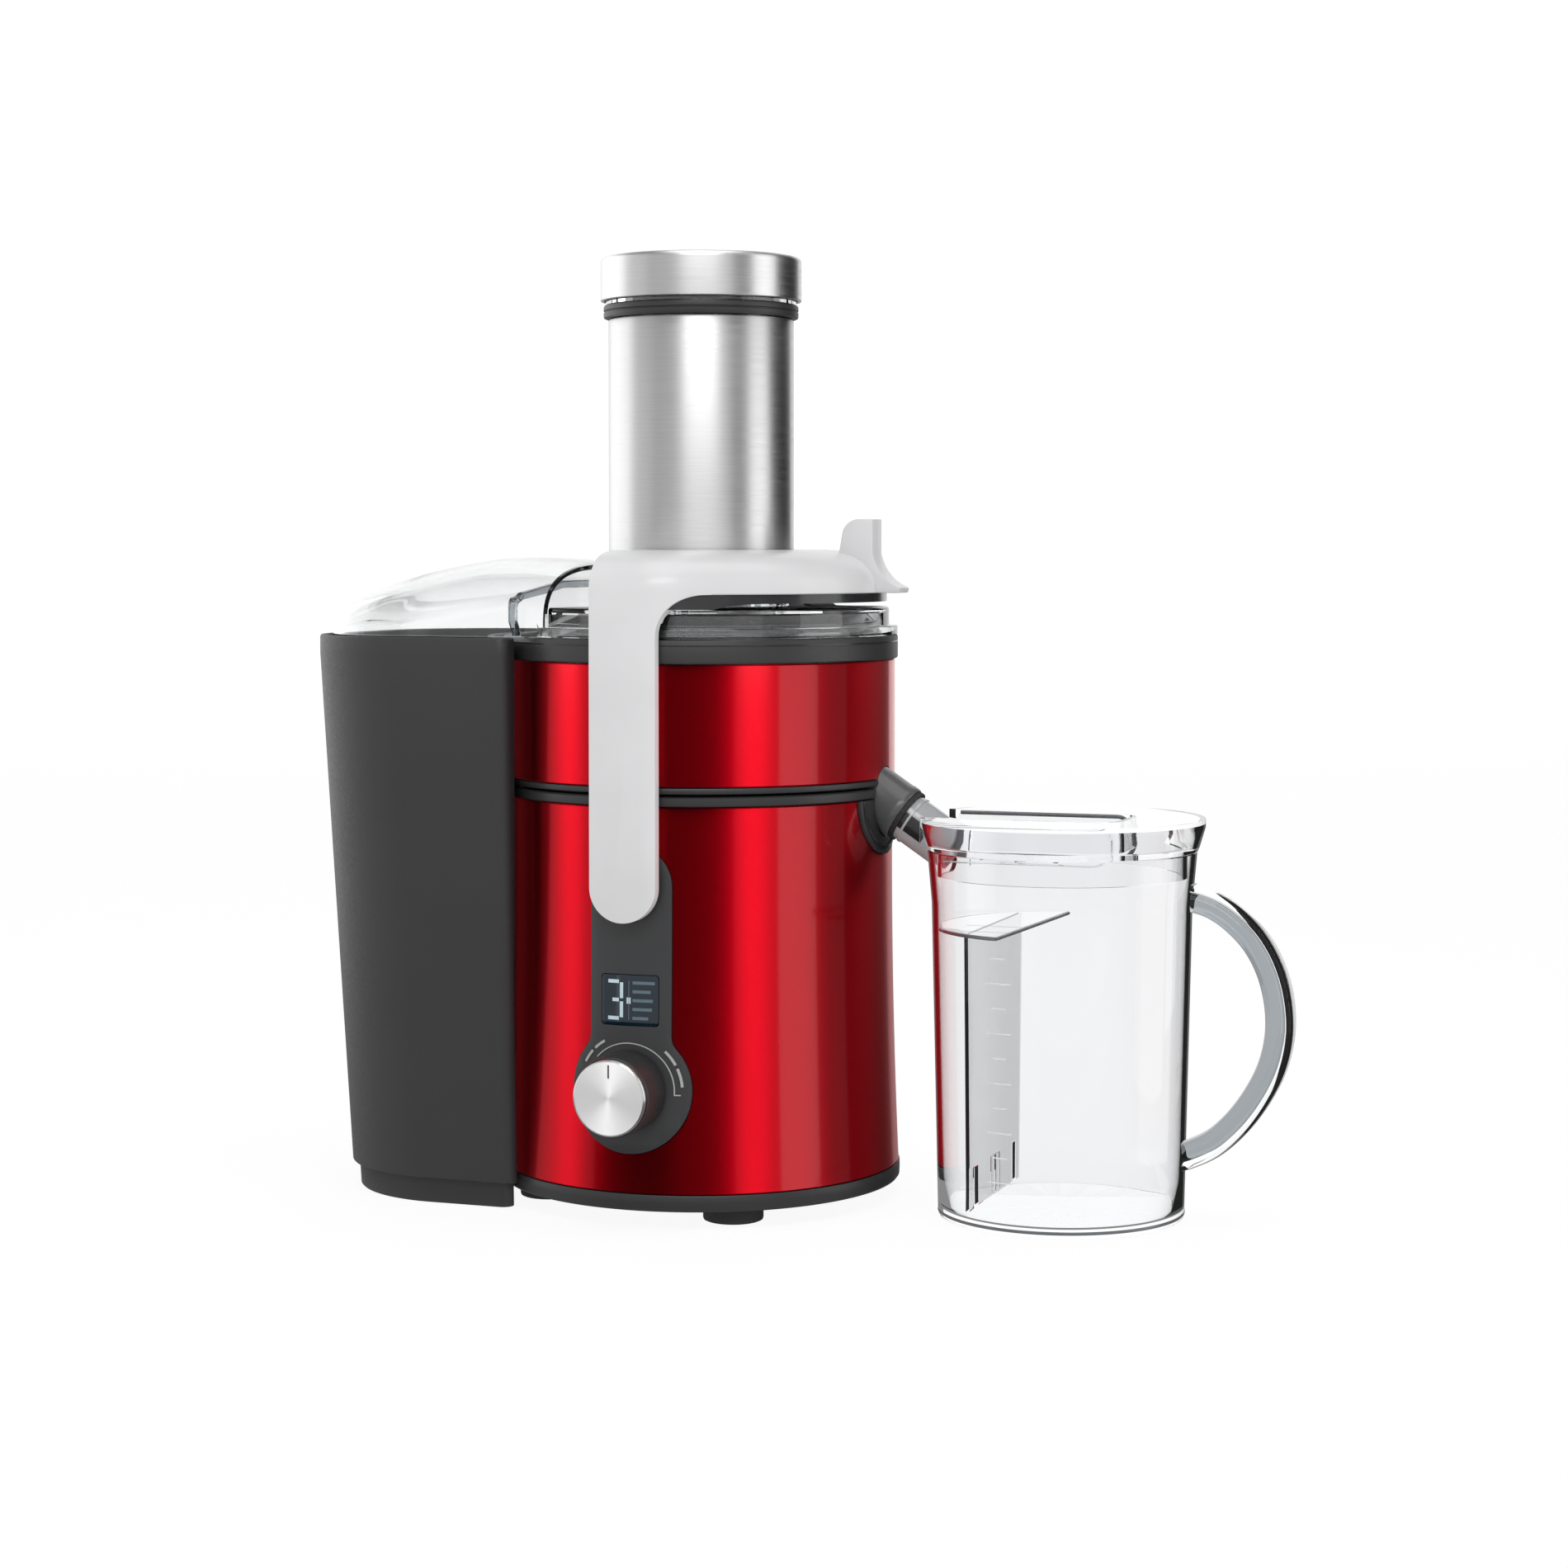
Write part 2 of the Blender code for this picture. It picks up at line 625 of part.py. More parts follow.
def make_rotor():
    """Everything that spins: shaft, armature, commutator, fan, coupling, basket and cutting disc."""
    turned("motor_shaft", [(0, 0.0150), (0.0040, 0.0150), (0.0040, 0.1940), (0, 0.1940)], "bright steel", MEDIUM)
    core = prism("armature", star_outline(0.0185, 0.0262, 12, 0.74), 0.0580, 0.0980, "iron laminations")
    boolean(core, cylinder_mesh(0.0043, 0.05, 0.11, (0, 0), MEDIUM))
    turned("commutator", tube_profile(0.0043, 0.0138, 0.1000, 0.1160), "copper", MEDIUM)
    fan = turned("cooling_fan", tube_profile(0.0080, 0.0460, 0.0290, 0.0305), "dark plastic")
    boolean(fan, prism_mesh(star_outline(0.0110, 0.0450, 11, 0.10), 0.0170, 0.0295), "UNION")
    boolean(fan, cylinder_mesh(0.0043, 0.01, 0.04, (0, 0), MEDIUM))
    coupling_profile = [
        (0, 0.1944), (0.0043, 0.1944), (0.0043, 0.1640), (0.0088, 0.1640), (0.0088, 0.1985), (0, 0.1985),
    ]
    turned("drive_coupling", coupling_profile, "dark plastic", MEDIUM)
    hub_profile = [
        (0, 0.1989), (0.0092, 0.1989), (0.0092, 0.1880), (0.0160, 0.1880), (0.0160, 0.2005),
        (0.0330, 0.2005), (0.0330, 0.2035), (0, 0.2035),
    ]
    turned("basket_hub", hub_profile, "dark plastic", MEDIUM)

    disc = turned("cutting_disc", [(0, 0.2038), (0.0485, 0.2038), (0.0485, 0.2050), (0, 0.2050)], "bright steel")
    teeth = bmesh.new()
    for row in range(5):
        for index in range(5):
            radius = 0.012 + 0.0078 * index
            tooth = bmesh.new()
            bmesh.ops.create_cone(
                tooth, cap_ends=True, segments=4, radius1=0.0014, radius2=0.0003, depth=0.0034,
            )
            place = polar(radius, 72 * row + 9 * index)
            tooth.transform(Matrix.Translation((*place, 0.2060)))
            merge_into(teeth, tooth)
    boolean(disc, teeth, "UNION")

    wall_profile = [
        (0.0488, 0.2038), (0.0510, 0.2030), (0.0662, 0.2410), (0.0662, 0.2432), (0.0650, 0.2432), (0.0650, 0.2412),
        (0.0500, 0.2050), (0.0488, 0.2050),
    ]
    turned("strainer_wall", wall_profile, "bright steel")
    rim_profile = [
        (0.0640, 0.2436), (0.0666, 0.2436), (0.0666, 0.2405), (0.0695, 0.2405), (0.0715, 0.2430),
        (0.0715, 0.2478), (0.0640, 0.2478),
    ]
    turned("basket_rim", rim_profile, "dark plastic")


# ---------------------------------------------------------------- filter bowl


def make_bowl():
    """Bowl with its spout collar, trims, red skin, seal and nozzle."""
    bowl_profile = [
        (0.0190, BOWL_TRIM_BOTTOM), (BOWL_WALL_OUTSIDE, BOWL_TRIM_BOTTOM), (BOWL_WALL_OUTSIDE, BOWL_TOP - 0.0003),
        (BOWL_WALL_INSIDE, BOWL_TOP - 0.0003), (BOWL_WALL_INSIDE, 0.1860), (0.0210, 0.1872),
        (0.0210, 0.1965), (0.0190, 0.1965),
    ]
    bowl = turned("filter_bowl", bowl_profile, "smoky plastic", ROUND)
    boolean(bowl, spout_sleeve_mesh(0.0100, -0.0300, 0.0300))
    collar_profile = [
        (NOZZLE_BORE, -0.0085), (COLLAR_RADIUS, -0.0085), (COLLAR_RADIUS, 0.0176), (COLLAR_RADIUS - 0.0004, 0.0180),
        (NOZZLE_RADIUS + TOUCH, 0.0180), (NOZZLE_RADIUS + TOUCH, 0.0090), (NOZZLE_BORE, 0.0090),
    ]
    place = (SPOUT_X, 0, SPOUT_Z)
    boolean(bowl, tilted_turned_mesh(collar_profile, place, SPOUT_SLOPE), "UNION")

    trim_profile = [
        (BOWL_WALL_OUTSIDE + TOUCH, BOWL_TRIM_BOTTOM), (0.0866, BOWL_TRIM_BOTTOM), (0.0870, 0.1844),
        (0.0870, BOWL_TRIM_TOP), (BOWL_WALL_OUTSIDE + TOUCH, BOWL_TRIM_TOP),
    ]
    trim = turned("bowl_lower_trim", trim_profile, "dark plastic", ROUND)
    skin_bottom = BOWL_TRIM_TOP + TOUCH
    skin = turned(
        "upper_red_skin",
        tube_profile(BODY_RADIUS - SKIN_WALL, BODY_RADIUS, skin_bottom, UPPER_SKIN_TOP),
        "red metallic", ROUND,
    )
    for target in (trim, skin):
        boolean(target, spout_sleeve_mesh(COLLAR_RADIUS + 0.0004, -0.0200, 0.0400))
    band_profile = [
        (BOWL_WALL_OUTSIDE + TOUCH, UPPER_SKIN_TOP + TOUCH), (BAND_RADIUS, UPPER_SKIN_TOP + TOUCH),
        (BAND_RADIUS, BOWL_TOP), (BOWL_WALL_OUTSIDE + TOUCH, BOWL_TOP),
    ]
    turned("bowl_top_band", band_profile, "dark plastic", ROUND)

    seal = tilted_turned_mesh(tube_profile(0.0111, 0.0122, 0.0183, 0.0203), place, SPOUT_SLOPE)
    add_object("spout_seal", seal, "rubber")
    nozzle_profile = [
        (NOZZLE_BORE, 0.0093), (NOZZLE_RADIUS, 0.0093), (NOZZLE_RADIUS, 0.0440), (0.0102, 0.0446),
        (NOZZLE_BORE, 0.0446),
    ]
    add_object("spout_nozzle", tilted_turned_mesh(nozzle_profile, place, SPOUT_SLOPE), "satin silver plastic")


# ---------------------------------------------------------------- cover, chute and pusher


def dome_half_width(x):
    """Half width of the dome over the pulp bin."""
    corner = BIN_CORNER - DOME_INSET
    middle = BIN_LEFT + DOME_INSET + corner
    flat = BIN_HALF_WIDTH - DOME_INSET - corner
    if x >= middle:
        return flat + corner
    return flat + math.sqrt(max(0.0, corner**2 - (x - middle) ** 2))


def dome_rise(x):
    """Height of the dome's ridge above its edge."""
    along = (x - BIN_LEFT - DOME_INSET) / DOME_CREST
    if along < 1:
        return DOME_HEIGHT * math.sqrt(max(0.0, 1 - abs(1 - along) ** 1.35))
    return DOME_HEIGHT - 0.0017 * ((along - 1) * 3) ** 2


def dome_mesh(inset, bottom, right, steps=12):
    """A closed dome over the bin, made smaller all round by inset."""
    left = BIN_LEFT + DOME_INSET + inset + 0.0002
    rings = []
    for step in range(steps + 1):
        x = left + (right - left) * (step / steps) ** 1.8
        half = max(0.004, dome_half_width(x - inset * (step < steps)) - inset)
        rise = max(0.0006, dome_rise(x) - inset)
        ring = [(x, -half, bottom)]
        for part in range(FINE + 1):
            angle = math.pi * part / FINE
            side = math.copysign(abs(math.cos(angle)) ** 0.80, math.cos(angle))
            ring.append((x, -half * side, COVER_BOTTOM + DOME_EDGE + rise * math.sin(angle) ** 0.80))
        ring.append((x, half, bottom))
        rings.append(ring)
    return ring_mesh(rings)


def make_cover():
    """The clear cover with its chute tube, the steel chute sleeve and the ring on top."""
    hole = CHUTE_BORE + 0.0008
    cap_profile = [
        (hole, COVER_BOTTOM), (BAND_RADIUS, COVER_BOTTOM), (BAND_RADIUS, 0.2531), (0.0873, COVER_FLANGE_TOP),
        (0.0846, COVER_FLANGE_TOP), (COVER_STEP_RADIUS, 0.2541), (COVER_STEP_RADIUS, 0.2607),
        (0.0827, COVER_TOP), (hole, COVER_TOP),
    ]
    cover = turned("juicer_cover", cap_profile, "clear plastic", ROUND)
    boolean(cover, dome_mesh(0.0, COVER_BOTTOM, DOME_RIGHT), "UNION")
    boolean(cover, cylinder_mesh(0.0813, 0.2400, COVER_TOP - COVER_WALL, (0, 0), ROUND))
    boolean(cover, dome_mesh(COVER_WALL, 0.2400, DOME_RIGHT - COVER_WALL))
    tube = tube_profile(CHUTE_BORE, CHUTE_LINER_OUTSIDE, CHUTE_BOTTOM, CHUTE_TOP)
    chute = turned_mesh(tube)
    boolean(cover, chute, "UNION")

    sleeve = tube_profile(CHUTE_LINER_OUTSIDE + TOUCH, CHUTE_SLEEVE_RADIUS, SLEEVE_BOTTOM, CHUTE_TOP - TOUCH)
    turned("chute_sleeve", sleeve, "brushed steel", ROUND)
    ring_profile = [
        (CHUTE_BORE, CHUTE_TOP + TOUCH), (CHUTE_RING_RADIUS, CHUTE_TOP + TOUCH),
        (CHUTE_RING_RADIUS, CHUTE_RING_TOP), (CHUTE_BORE, CHUTE_RING_TOP),
    ]
    turned("chute_top_ring", ring_profile, "dark plastic", ROUND)


def make_pusher():
    """The clear pusher and its metal cap."""
    body_profile = [
        (0, PUSHER_BOTTOM), (0.0354, PUSHER_BOTTOM), (0.0373, PUSHER_BOTTOM + 0.0030), (0.0373, 0.3953),
        (0.0425, 0.3953), (0.0425, 0.3967), (0.0345, 0.3967), (0.0338, 0.2350), (0, 0.2350),
    ]
    turned("pusher_body", body_profile, "clear plastic")
    cap_profile = [
        (0, 0.4140), (0.0432, 0.4140), (0.0432, PUSHER_CAP_BOTTOM), (PUSHER_CAP_RADIUS, PUSHER_CAP_BOTTOM),
        (PUSHER_CAP_RADIUS, PUSHER_CAP_TOP - 0.0020), (PUSHER_CAP_RADIUS - 0.0018, PUSHER_CAP_TOP),
        (0, PUSHER_CAP_TOP),
    ]
    turned("pusher_cap", cap_profile, "aluminium", ROUND)


# ---------------------------------------------------------------- safety arm


def make_arm():
    """The safety arm: a bail over the cover that swings on two pins, with a grip tab."""
    bend = ARM_TOP - 0.0250
    hoop = [(-ARM_OUTSIDE, 0.1200), (ARM_OUTSIDE, 0.1200)]
    hoop += arc((ARM_OUTSIDE - 0.0250, bend), 0.0250, 0, 90, 6)
    hoop += arc((-ARM_OUTSIDE + 0.0250, bend), 0.0250, 90, 180, 6)
    arm = add_object("safety_arm", side_prism_mesh(hoop, -0.0400, 0.0400), "satin silver plastic", ARM_PLACE)

    leg = arc((0, ARM_PIVOT_Z), ARM_HALF_WIDTH, 180, 360, 12)
    fillet_centre = (ARM_HALF_WIDTH + ARM_FILLET, ARM_SKIRT - ARM_FILLET)
    leg += arc(fillet_centre, ARM_FILLET, 180, 90, 6)
    leg += [(0.0350, ARM_SKIRT), (0.0350, 0.3000), (-ARM_HALF_WIDTH, 0.3000)]
    boolean(arm, front_prism_mesh(leg, -0.1100, 0.1100), "INTERSECT")

    boolean(arm, prism_mesh(crown_outline(-0.0030), 0.1000, 0.3100), "INTERSECT")
    crown_levels = [
        (0.0, ARM_SKIRT), (0.0, 0.2705), (0.0020, 0.2765), (0.0055, 0.2810), (0.0115, 0.2842),
        (0.0195, 0.2860), (0.0280, ARM_TOP),
    ]
    crown = ring_mesh([[(x, y, z) for x, y in crown_outline(inset)] for inset, z in crown_levels])
    boolean(arm, crown, "UNION")
    inside = front_prism_mesh(box_outline(-0.1000, 0.1000, 0.1000, 0.2560), -ARM_INSIDE, ARM_INSIDE)
    boolean(arm, inside)
    clear_radius = ARM_INSIDE - 0.0002
    boolean(arm, turned_mesh([(0, 0.2000), (clear_radius, 0.2000)] + underside(clear_radius, 0.0)))
    slot = arc((0, 0), ARM_RING_INSIDE, -90, 90, ROUND // 2) + [(-0.0500, ARM_RING_INSIDE), (-0.0500, -ARM_RING_INSIDE)]
    boolean(arm, prism_mesh(slot, 0.2600, 0.3000))
    boolean(arm, front_prism_mesh(tab_outline(), -0.0070, 0.0070), "UNION")
    pin_holes = bmesh.new()
    for turn in (0.0, math.pi):
        hole = lying_turned_mesh([(0, 0.085), (PIN_HOLE, 0.085), (PIN_HOLE, 0.0925), (0, 0.0925)], (0, 0, ARM_PIVOT_Z), SMALL)
        hole.transform(Matrix.Rotation(turn, 4, "Z"))
        merge_into(pin_holes, hole)
    boolean(arm, pin_holes)


def underside(start, end, steps=8):
    """Profile points on the sphere about the pivot, which the arm's underside follows, between two radii."""
    points = []
    for step in range(steps + 1):
        radius = start + (end - start) * step / steps
        points.append((radius, ARM_PIVOT_Z + math.sqrt(ARM_UNDERSIDE_RADIUS**2 - radius**2)))
    return points


def crown_outline(inset):
    """Plan of the arm's top: a half ring that widens to meet both legs, moved inward by inset."""
    reach = ARM_RING_OUTSIDE - inset
    side = CROWN_HALF_DEPTH - inset
    shoulder = ARM_HALF_WIDTH + 0.0023
    tangent = math.atan2(side, shoulder) - math.acos(reach / math.hypot(side, shoulder))
    touch = (reach * math.cos(tangent), reach * math.sin(tangent))
    left = -ARM_HALF_WIDTH + 2 * min(inset, 0.0)
    half = rounded([(left, 0, 0), (left, side, 0), (shoulder, side, 0.0300), (*touch, 0)])[1:-1]
    turn = math.degrees(tangent)
    front = [(x, -y) for x, y in reversed(half)]
    return half + arc((0, 0), reach, turn, -turn, 12) + front


def tab_outline():
    """The grip tab and its lip, as (x, z) points."""
    outline = [(0.0640, 0.2780), (0.0840, ARM_SKIRT), (0.0945, ARM_SKIRT), (0.0950, 0.2700)]
    outline += arc((0.1020, 0.2890), 0.0200, 249, 200, 6)
    outline += [(0.0823, 0.2850), (0.0823, 0.3003), (0.0760, 0.3003)]
    outline += arc((0.0760, 0.2925), 0.0078, 95, 175, 6)
    outline += [(0.0670, 0.2860)]
    return outline


# ---------------------------------------------------------------- pulp bin


def bin_ring(z, inset, narrow):
    """The bin's outline at height z, moved inward by inset, and narrowed by the draft where narrow is 1."""
    left = BIN_LEFT + BIN_DRAFT * narrow + inset
    half = BIN_HALF_WIDTH - 0.0070 * narrow - inset
    right = BIN_RIGHT - inset
    hollow = BIN_HOLLOW_RADIUS + inset
    corner = BIN_CORNER - inset
    outer = rounded([(right, half, 0.0045), (left, half, corner), (left, -half, corner), (right, -half, 0.0045)], 7)
    reach = math.degrees(min(math.acos(-right / hollow), math.asin((half - 0.0055) / hollow)))
    sweep = arc((0, 0), hollow, 180 + reach, 180 - reach, 12)
    return [(x, y, z) for x, y in outer + sweep]


def make_bin():
    """The pulp bin: one wall and floor, with a narrower foot."""
    rings = [
        bin_ring(0.0, 0.0030, 1.0),
        bin_ring(0.0110, 0.0030, 0.956),
        bin_ring(0.0112, 0.0, 0.955),
        bin_ring(BIN_TOP, 0.0, 0.0),
        bin_ring(BIN_TOP, BIN_WALL, 0.0),
        bin_ring(0.0136, BIN_WALL, 0.945),
    ]
    add_object("pulp_bin", ring_mesh(rings), "dark plastic", BIN_PLACE)


# ---------------------------------------------------------------- juice jug


def jug_radius(z):
    """Outer radius of the jug's wall."""
    if z < 0.1350:
        return JUG_BASE_RADIUS + (0.0560 - JUG_BASE_RADIUS) * z / 0.1350
    return 0.0560 + (JUG_RIM_RADIUS - 0.0560) * (z - 0.1350) / (JUG_RIM_Z - 0.1350)


def make_jug():
    """Jug, handle, froth separator and lid."""
    levels = [0.0010, 0.0350, 0.0700, 0.1050, 0.1350, 0.1430, 0.1500, JUG_RIM_Z]
    outside = [(0, 0), (JUG_BASE_RADIUS - 0.0010, 0)] + [(jug_radius(z), z) for z in levels]
    inside = [(jug_radius(z) - JUG_WALL, z) for z in reversed(levels[1:])]
    floor = [(JUG_BASE_RADIUS - JUG_WALL - 0.0005, 0.0045), (JUG_BASE_RADIUS - JUG_WALL - 0.0020, 0.0032), (0, 0.0032)]
    jug = turned("jug_body", outside + inside + floor, "clear plastic", ROUND, (JUG_X, 0))
    notch = rounded([(-0.0150, 0.1455, 0.0060), (0.0150, 0.1455, 0.0060), (0.0150, 0.1700, 0), (-0.0150, 0.1700, 0)])
    boolean(jug, side_prism_mesh(notch, JUG_X - 0.0700, JUG_X - 0.0300))

    route = [
        (0.0574, 0.1390), (0.0660, 0.1365), (0.0750, 0.1310), (0.0840, 0.1220), (0.0905, 0.1105), (0.0942, 0.0970),
        (0.0948, 0.0830), (0.0918, 0.0690), (0.0855, 0.0560), (0.0768, 0.0440), (0.0665, 0.0345), (0.0544, 0.0285),
    ]
    add_object("jug_handle", swept_mesh(route), "clear plastic", (JUG_X, 0, 0))

    plate_outline = [
        (-0.0385, 0.0060), (-0.0330, 0.0060), (-0.0330, 0.0240), (-0.0270, 0.0240), (-0.0270, 0.0060),
        (-0.0120, 0.0060), (-0.0120, 0.0240), (-0.0060, 0.0240), (-0.0060, 0.0060),
    ]
    plate_outline = both_ways(plate_outline)
    plate_outline += [(0.0425, 0.1245), (-0.0425, 0.1245)]
    separator = add_object(
        "froth_separator",
        side_prism_mesh(plate_outline, JUG_X - 0.0308, JUG_X - 0.0292),
        "clear plastic", (JUG_X, 0, 0),
    )
    chord = arc((JUG_X, 0), 0.0525, 101, 253, 16)
    boolean(separator, prism_mesh(chord, 0.1235, 0.1251), "UNION")

    lid_profile = [
        (0, 0.1700), (0.0590, 0.1700), (0.0562, 0.1606), (0.0520, 0.1606), (0.0520, 0.1470), (0.0538, 0.1470),
        (0.0538, JUG_RIM_Z + TOUCH), (0.0583, JUG_RIM_Z + TOUCH), (0.0605, 0.1650), (LID_RIM_RADIUS, 0.1712),
        (LID_RIM_RADIUS - 0.0006, LID_TOP), (0, LID_TOP),
    ]
    lid = turned("jug_lid", lid_profile, "clear plastic", ROUND, (JUG_X, 0))
    boolean(lid, prism_mesh(channel_outline(0.0), 0.1400, 0.1800))
    boolean(lid, prism_mesh(channel_outline(0.0020), 0.1590, 0.1718), "UNION")
    boolean(lid, prism_mesh(channel_outline(0.0002), 0.1400, 0.1800))
    keep = cylinder_mesh(LID_RIM_RADIUS - 0.0008, 0.1400, 0.1800, (JUG_X, 0), ROUND)
    boolean(lid, keep, "INTERSECT")


def channel_outline(grow):
    """The open channel in the lid, which lets the nozzle in from the spout side."""
    half = LID_CHANNEL + grow
    end = JUG_X + 0.0280 + grow
    start = JUG_X - 0.0800
    return rounded([(start, -half, 0), (end, -half, 0.0120 + grow), (end, half, 0.0120 + grow), (start, half, 0)])


def swept_mesh(route):
    """A rounded bar along a route of (x, z) points, given from the jug's middle."""
    rings = []
    for index, (x, z) in enumerate(route):
        before = route[max(0, index - 1)]
        after = route[min(len(route) - 1, index + 1)]
        along = Vector((after[0] - before[0], after[1] - before[1]))
        if index in (0, len(route) - 1):
            along = Vector((1.0 if index == 0 else -1.0, 0.0))
        along.normalize()
        ring = []
        for side in range(12):
            angle = 2 * math.pi * (side + 0.5) / 12
            wide = math.copysign(abs(math.cos(angle)) ** 0.6, math.cos(angle)) * 0.0060
            deep = math.copysign(abs(math.sin(angle)) ** 0.6, math.sin(angle)) * 0.0070
            ring.append((JUG_X + x - along.y * wide, deep, z + along.x * wide))
        rings.append(ring)
    return ring_mesh(rings)


# ---------------------------------------------------------------- whole juicer

for old in list(bpy.data.objects):
    bpy.data.objects.remove(old, do_unlink=True)

ROOT = bpy.data.objects.new("juicer_axis", None)
ROOT.location = (ROOT_X, ROOT_Y, 0)
bpy.context.scene.collection.objects.link(ROOT)

make_base()
make_arm_pins()
make_panel()
make_motor()
make_rotor()
make_bowl()
make_cover()
make_pusher()
make_arm()
make_bin()
make_jug()
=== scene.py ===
"""Looks of the centrifugal juicer: fine shells, clear plastics, lacquer, steel and a studio."""

import json
import math

import bmesh
import bpy
from mathutils import Matrix, Vector

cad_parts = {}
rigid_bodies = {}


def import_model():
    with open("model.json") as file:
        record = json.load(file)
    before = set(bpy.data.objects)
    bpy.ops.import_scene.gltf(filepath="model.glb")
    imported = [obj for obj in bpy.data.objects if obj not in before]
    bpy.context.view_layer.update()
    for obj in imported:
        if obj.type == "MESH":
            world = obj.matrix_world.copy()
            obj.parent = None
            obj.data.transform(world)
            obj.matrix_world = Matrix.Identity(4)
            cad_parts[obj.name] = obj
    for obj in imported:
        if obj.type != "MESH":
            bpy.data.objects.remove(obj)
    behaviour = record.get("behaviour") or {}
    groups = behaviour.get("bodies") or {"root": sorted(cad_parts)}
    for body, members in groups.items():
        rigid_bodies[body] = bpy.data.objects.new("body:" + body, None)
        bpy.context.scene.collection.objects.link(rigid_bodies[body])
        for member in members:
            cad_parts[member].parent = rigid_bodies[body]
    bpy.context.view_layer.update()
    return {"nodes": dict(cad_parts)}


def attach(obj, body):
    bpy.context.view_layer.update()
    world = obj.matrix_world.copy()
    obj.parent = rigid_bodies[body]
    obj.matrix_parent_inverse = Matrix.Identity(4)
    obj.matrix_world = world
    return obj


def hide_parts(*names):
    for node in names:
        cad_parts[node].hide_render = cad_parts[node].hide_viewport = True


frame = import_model()

# Where the juicer's axis stands in the frame, and where the jug's axis stands from it.
AXIS = Vector((-0.04758, 0.00575, 0.0))
JUG_X = 0.1660
JUG_TOP = 0.1580

# Sides of turned shapes.
ROUND = 160
MEDIUM = 64
SMALL = 32
# Cutters are turned by this fraction of a side, so that their edges never line up with the edges they cut.
CUTTER_PHASE = 0.23

# Base and skins.
ARM_PIVOT_Z = 0.1446
KNOB_Z = 0.0582
DISPLAY_Z = 0.0964
GLAND_Z = 0.0350
BASE_RING_TOP = 0.0145
LOWER_RADIUS = 0.0853
FLARE = 0.0031
SKIN_WALL = 0.0018
LOWER_SKIN_TOP = 0.1781
BIB_RADIUS = 0.0246
SPOUT_PLACE = (0.0800, 0.0, 0.1810)
SPOUT_SLOPE = math.radians(33.7)
SPOUT_HOLE = 0.0134
PIN_HOLE = 0.0044
# Depths along Y between which a cutter passes through the front of the skin.
FRONT_CUT = (-0.110, -0.050)

# Cover and arm.
COVER_BOTTOM = 0.2493
COVER_TOP = 0.2620
COVER_WALL = 0.0025
BIN_LEFT = -0.1715
BIN_HALF_WIDTH = 0.0800
BIN_CORNER = 0.0580
DOME_INSET = 0.0058
DOME_CREST = 0.0840
DOME_HEIGHT = 0.0320
DOME_RIGHT = -0.0430
ARM_HALF_WIDTH = 0.0147
ARM_OUTSIDE = 0.0950
ARM_INSIDE = 0.0895
ARM_TOP = 0.2868
ARM_RING_INSIDE = 0.0435
ARM_RING_OUTSIDE = 0.0845
ARM_SKIRT = 0.2680
ARM_FILLET = 0.0180
ARM_SWEEP = 0.1450
CROWN_HALF_DEPTH = 0.0950


# ---------------------------------------------------------------- materials


def new_material(name):
    """A material with its node tree, Principled shader and object coordinates."""
    made = bpy.data.materials.new(name)
    made.use_nodes = True
    tree = made.node_tree
    shader = tree.nodes["Principled BSDF"]
    place = tree.nodes.new("ShaderNodeTexCoord")
    return made, tree, shader, place.outputs["Object"]


def noise(tree, place, scale, stretch=(1, 1, 1), detail=3.0):
    """A noise texture over object coordinates, stretched along each axis."""
    mapping = tree.nodes.new("ShaderNodeMapping")
    mapping.inputs["Scale"].default_value = stretch
    texture = tree.nodes.new("ShaderNodeTexNoise")
    texture.inputs["Scale"].default_value = scale
    texture.inputs["Detail"].default_value = detail
    tree.links.new(place, mapping.inputs["Vector"])
    tree.links.new(mapping.outputs["Vector"], texture.inputs["Vector"])
    return texture.outputs["Fac"]


def spread(tree, value, low, high):
    """The value remapped from the middle of its range to low and high."""
    remap = tree.nodes.new("ShaderNodeMapRange")
    remap.inputs["From Min"].default_value = 0.3
    remap.inputs["From Max"].default_value = 0.7
    remap.inputs["To Min"].default_value = low
    remap.inputs["To Max"].default_value = high
    tree.links.new(value, remap.inputs["Value"])
    return remap.outputs["Result"]


def tint(tree, value, dark, light):
    """A colour that runs from dark to light with the value."""
    ramp = tree.nodes.new("ShaderNodeValToRGB")
    ramp.color_ramp.elements[0].position = 0.3
    ramp.color_ramp.elements[0].color = (*dark, 1)
    ramp.color_ramp.elements[1].position = 0.7
    ramp.color_ramp.elements[1].color = (*light, 1)
    tree.links.new(value, ramp.inputs["Fac"])
    return ramp.outputs["Color"]


def bump(tree, shader, height, strength, distance):
    """Feeds a height into the shader's normal."""
    node = tree.nodes.new("ShaderNodeBump")
    node.inputs["Strength"].default_value = strength
    node.inputs["Distance"].default_value = distance
    tree.links.new(height, node.inputs["Height"])
    tree.links.new(node.outputs["Normal"], shader.inputs["Normal"])


def shaded(colour, change):
    """The colour made lighter or darker by a share."""
    return tuple(min(1.0, part * (1 + change)) for part in colour)


def moulded(name, colour, roughness, grain=900, depth=0.00004, coat=0.0):
    """Moulded plastic or rubber: a fine grain, and slow changes of tone and gloss."""
    made, tree, shader, place = new_material(name)
    fine = noise(tree, place, grain)
    slow = noise(tree, place, 14)
    tree.links.new(tint(tree, slow, shaded(colour, -0.06), shaded(colour, 0.06)), shader.inputs["Base Color"])
    tree.links.new(spread(tree, fine, roughness - 0.05, roughness + 0.06), shader.inputs["Roughness"])
    bump(tree, shader, fine, 0.35, depth)
    shader.inputs["Coat Weight"].default_value = coat
    return made


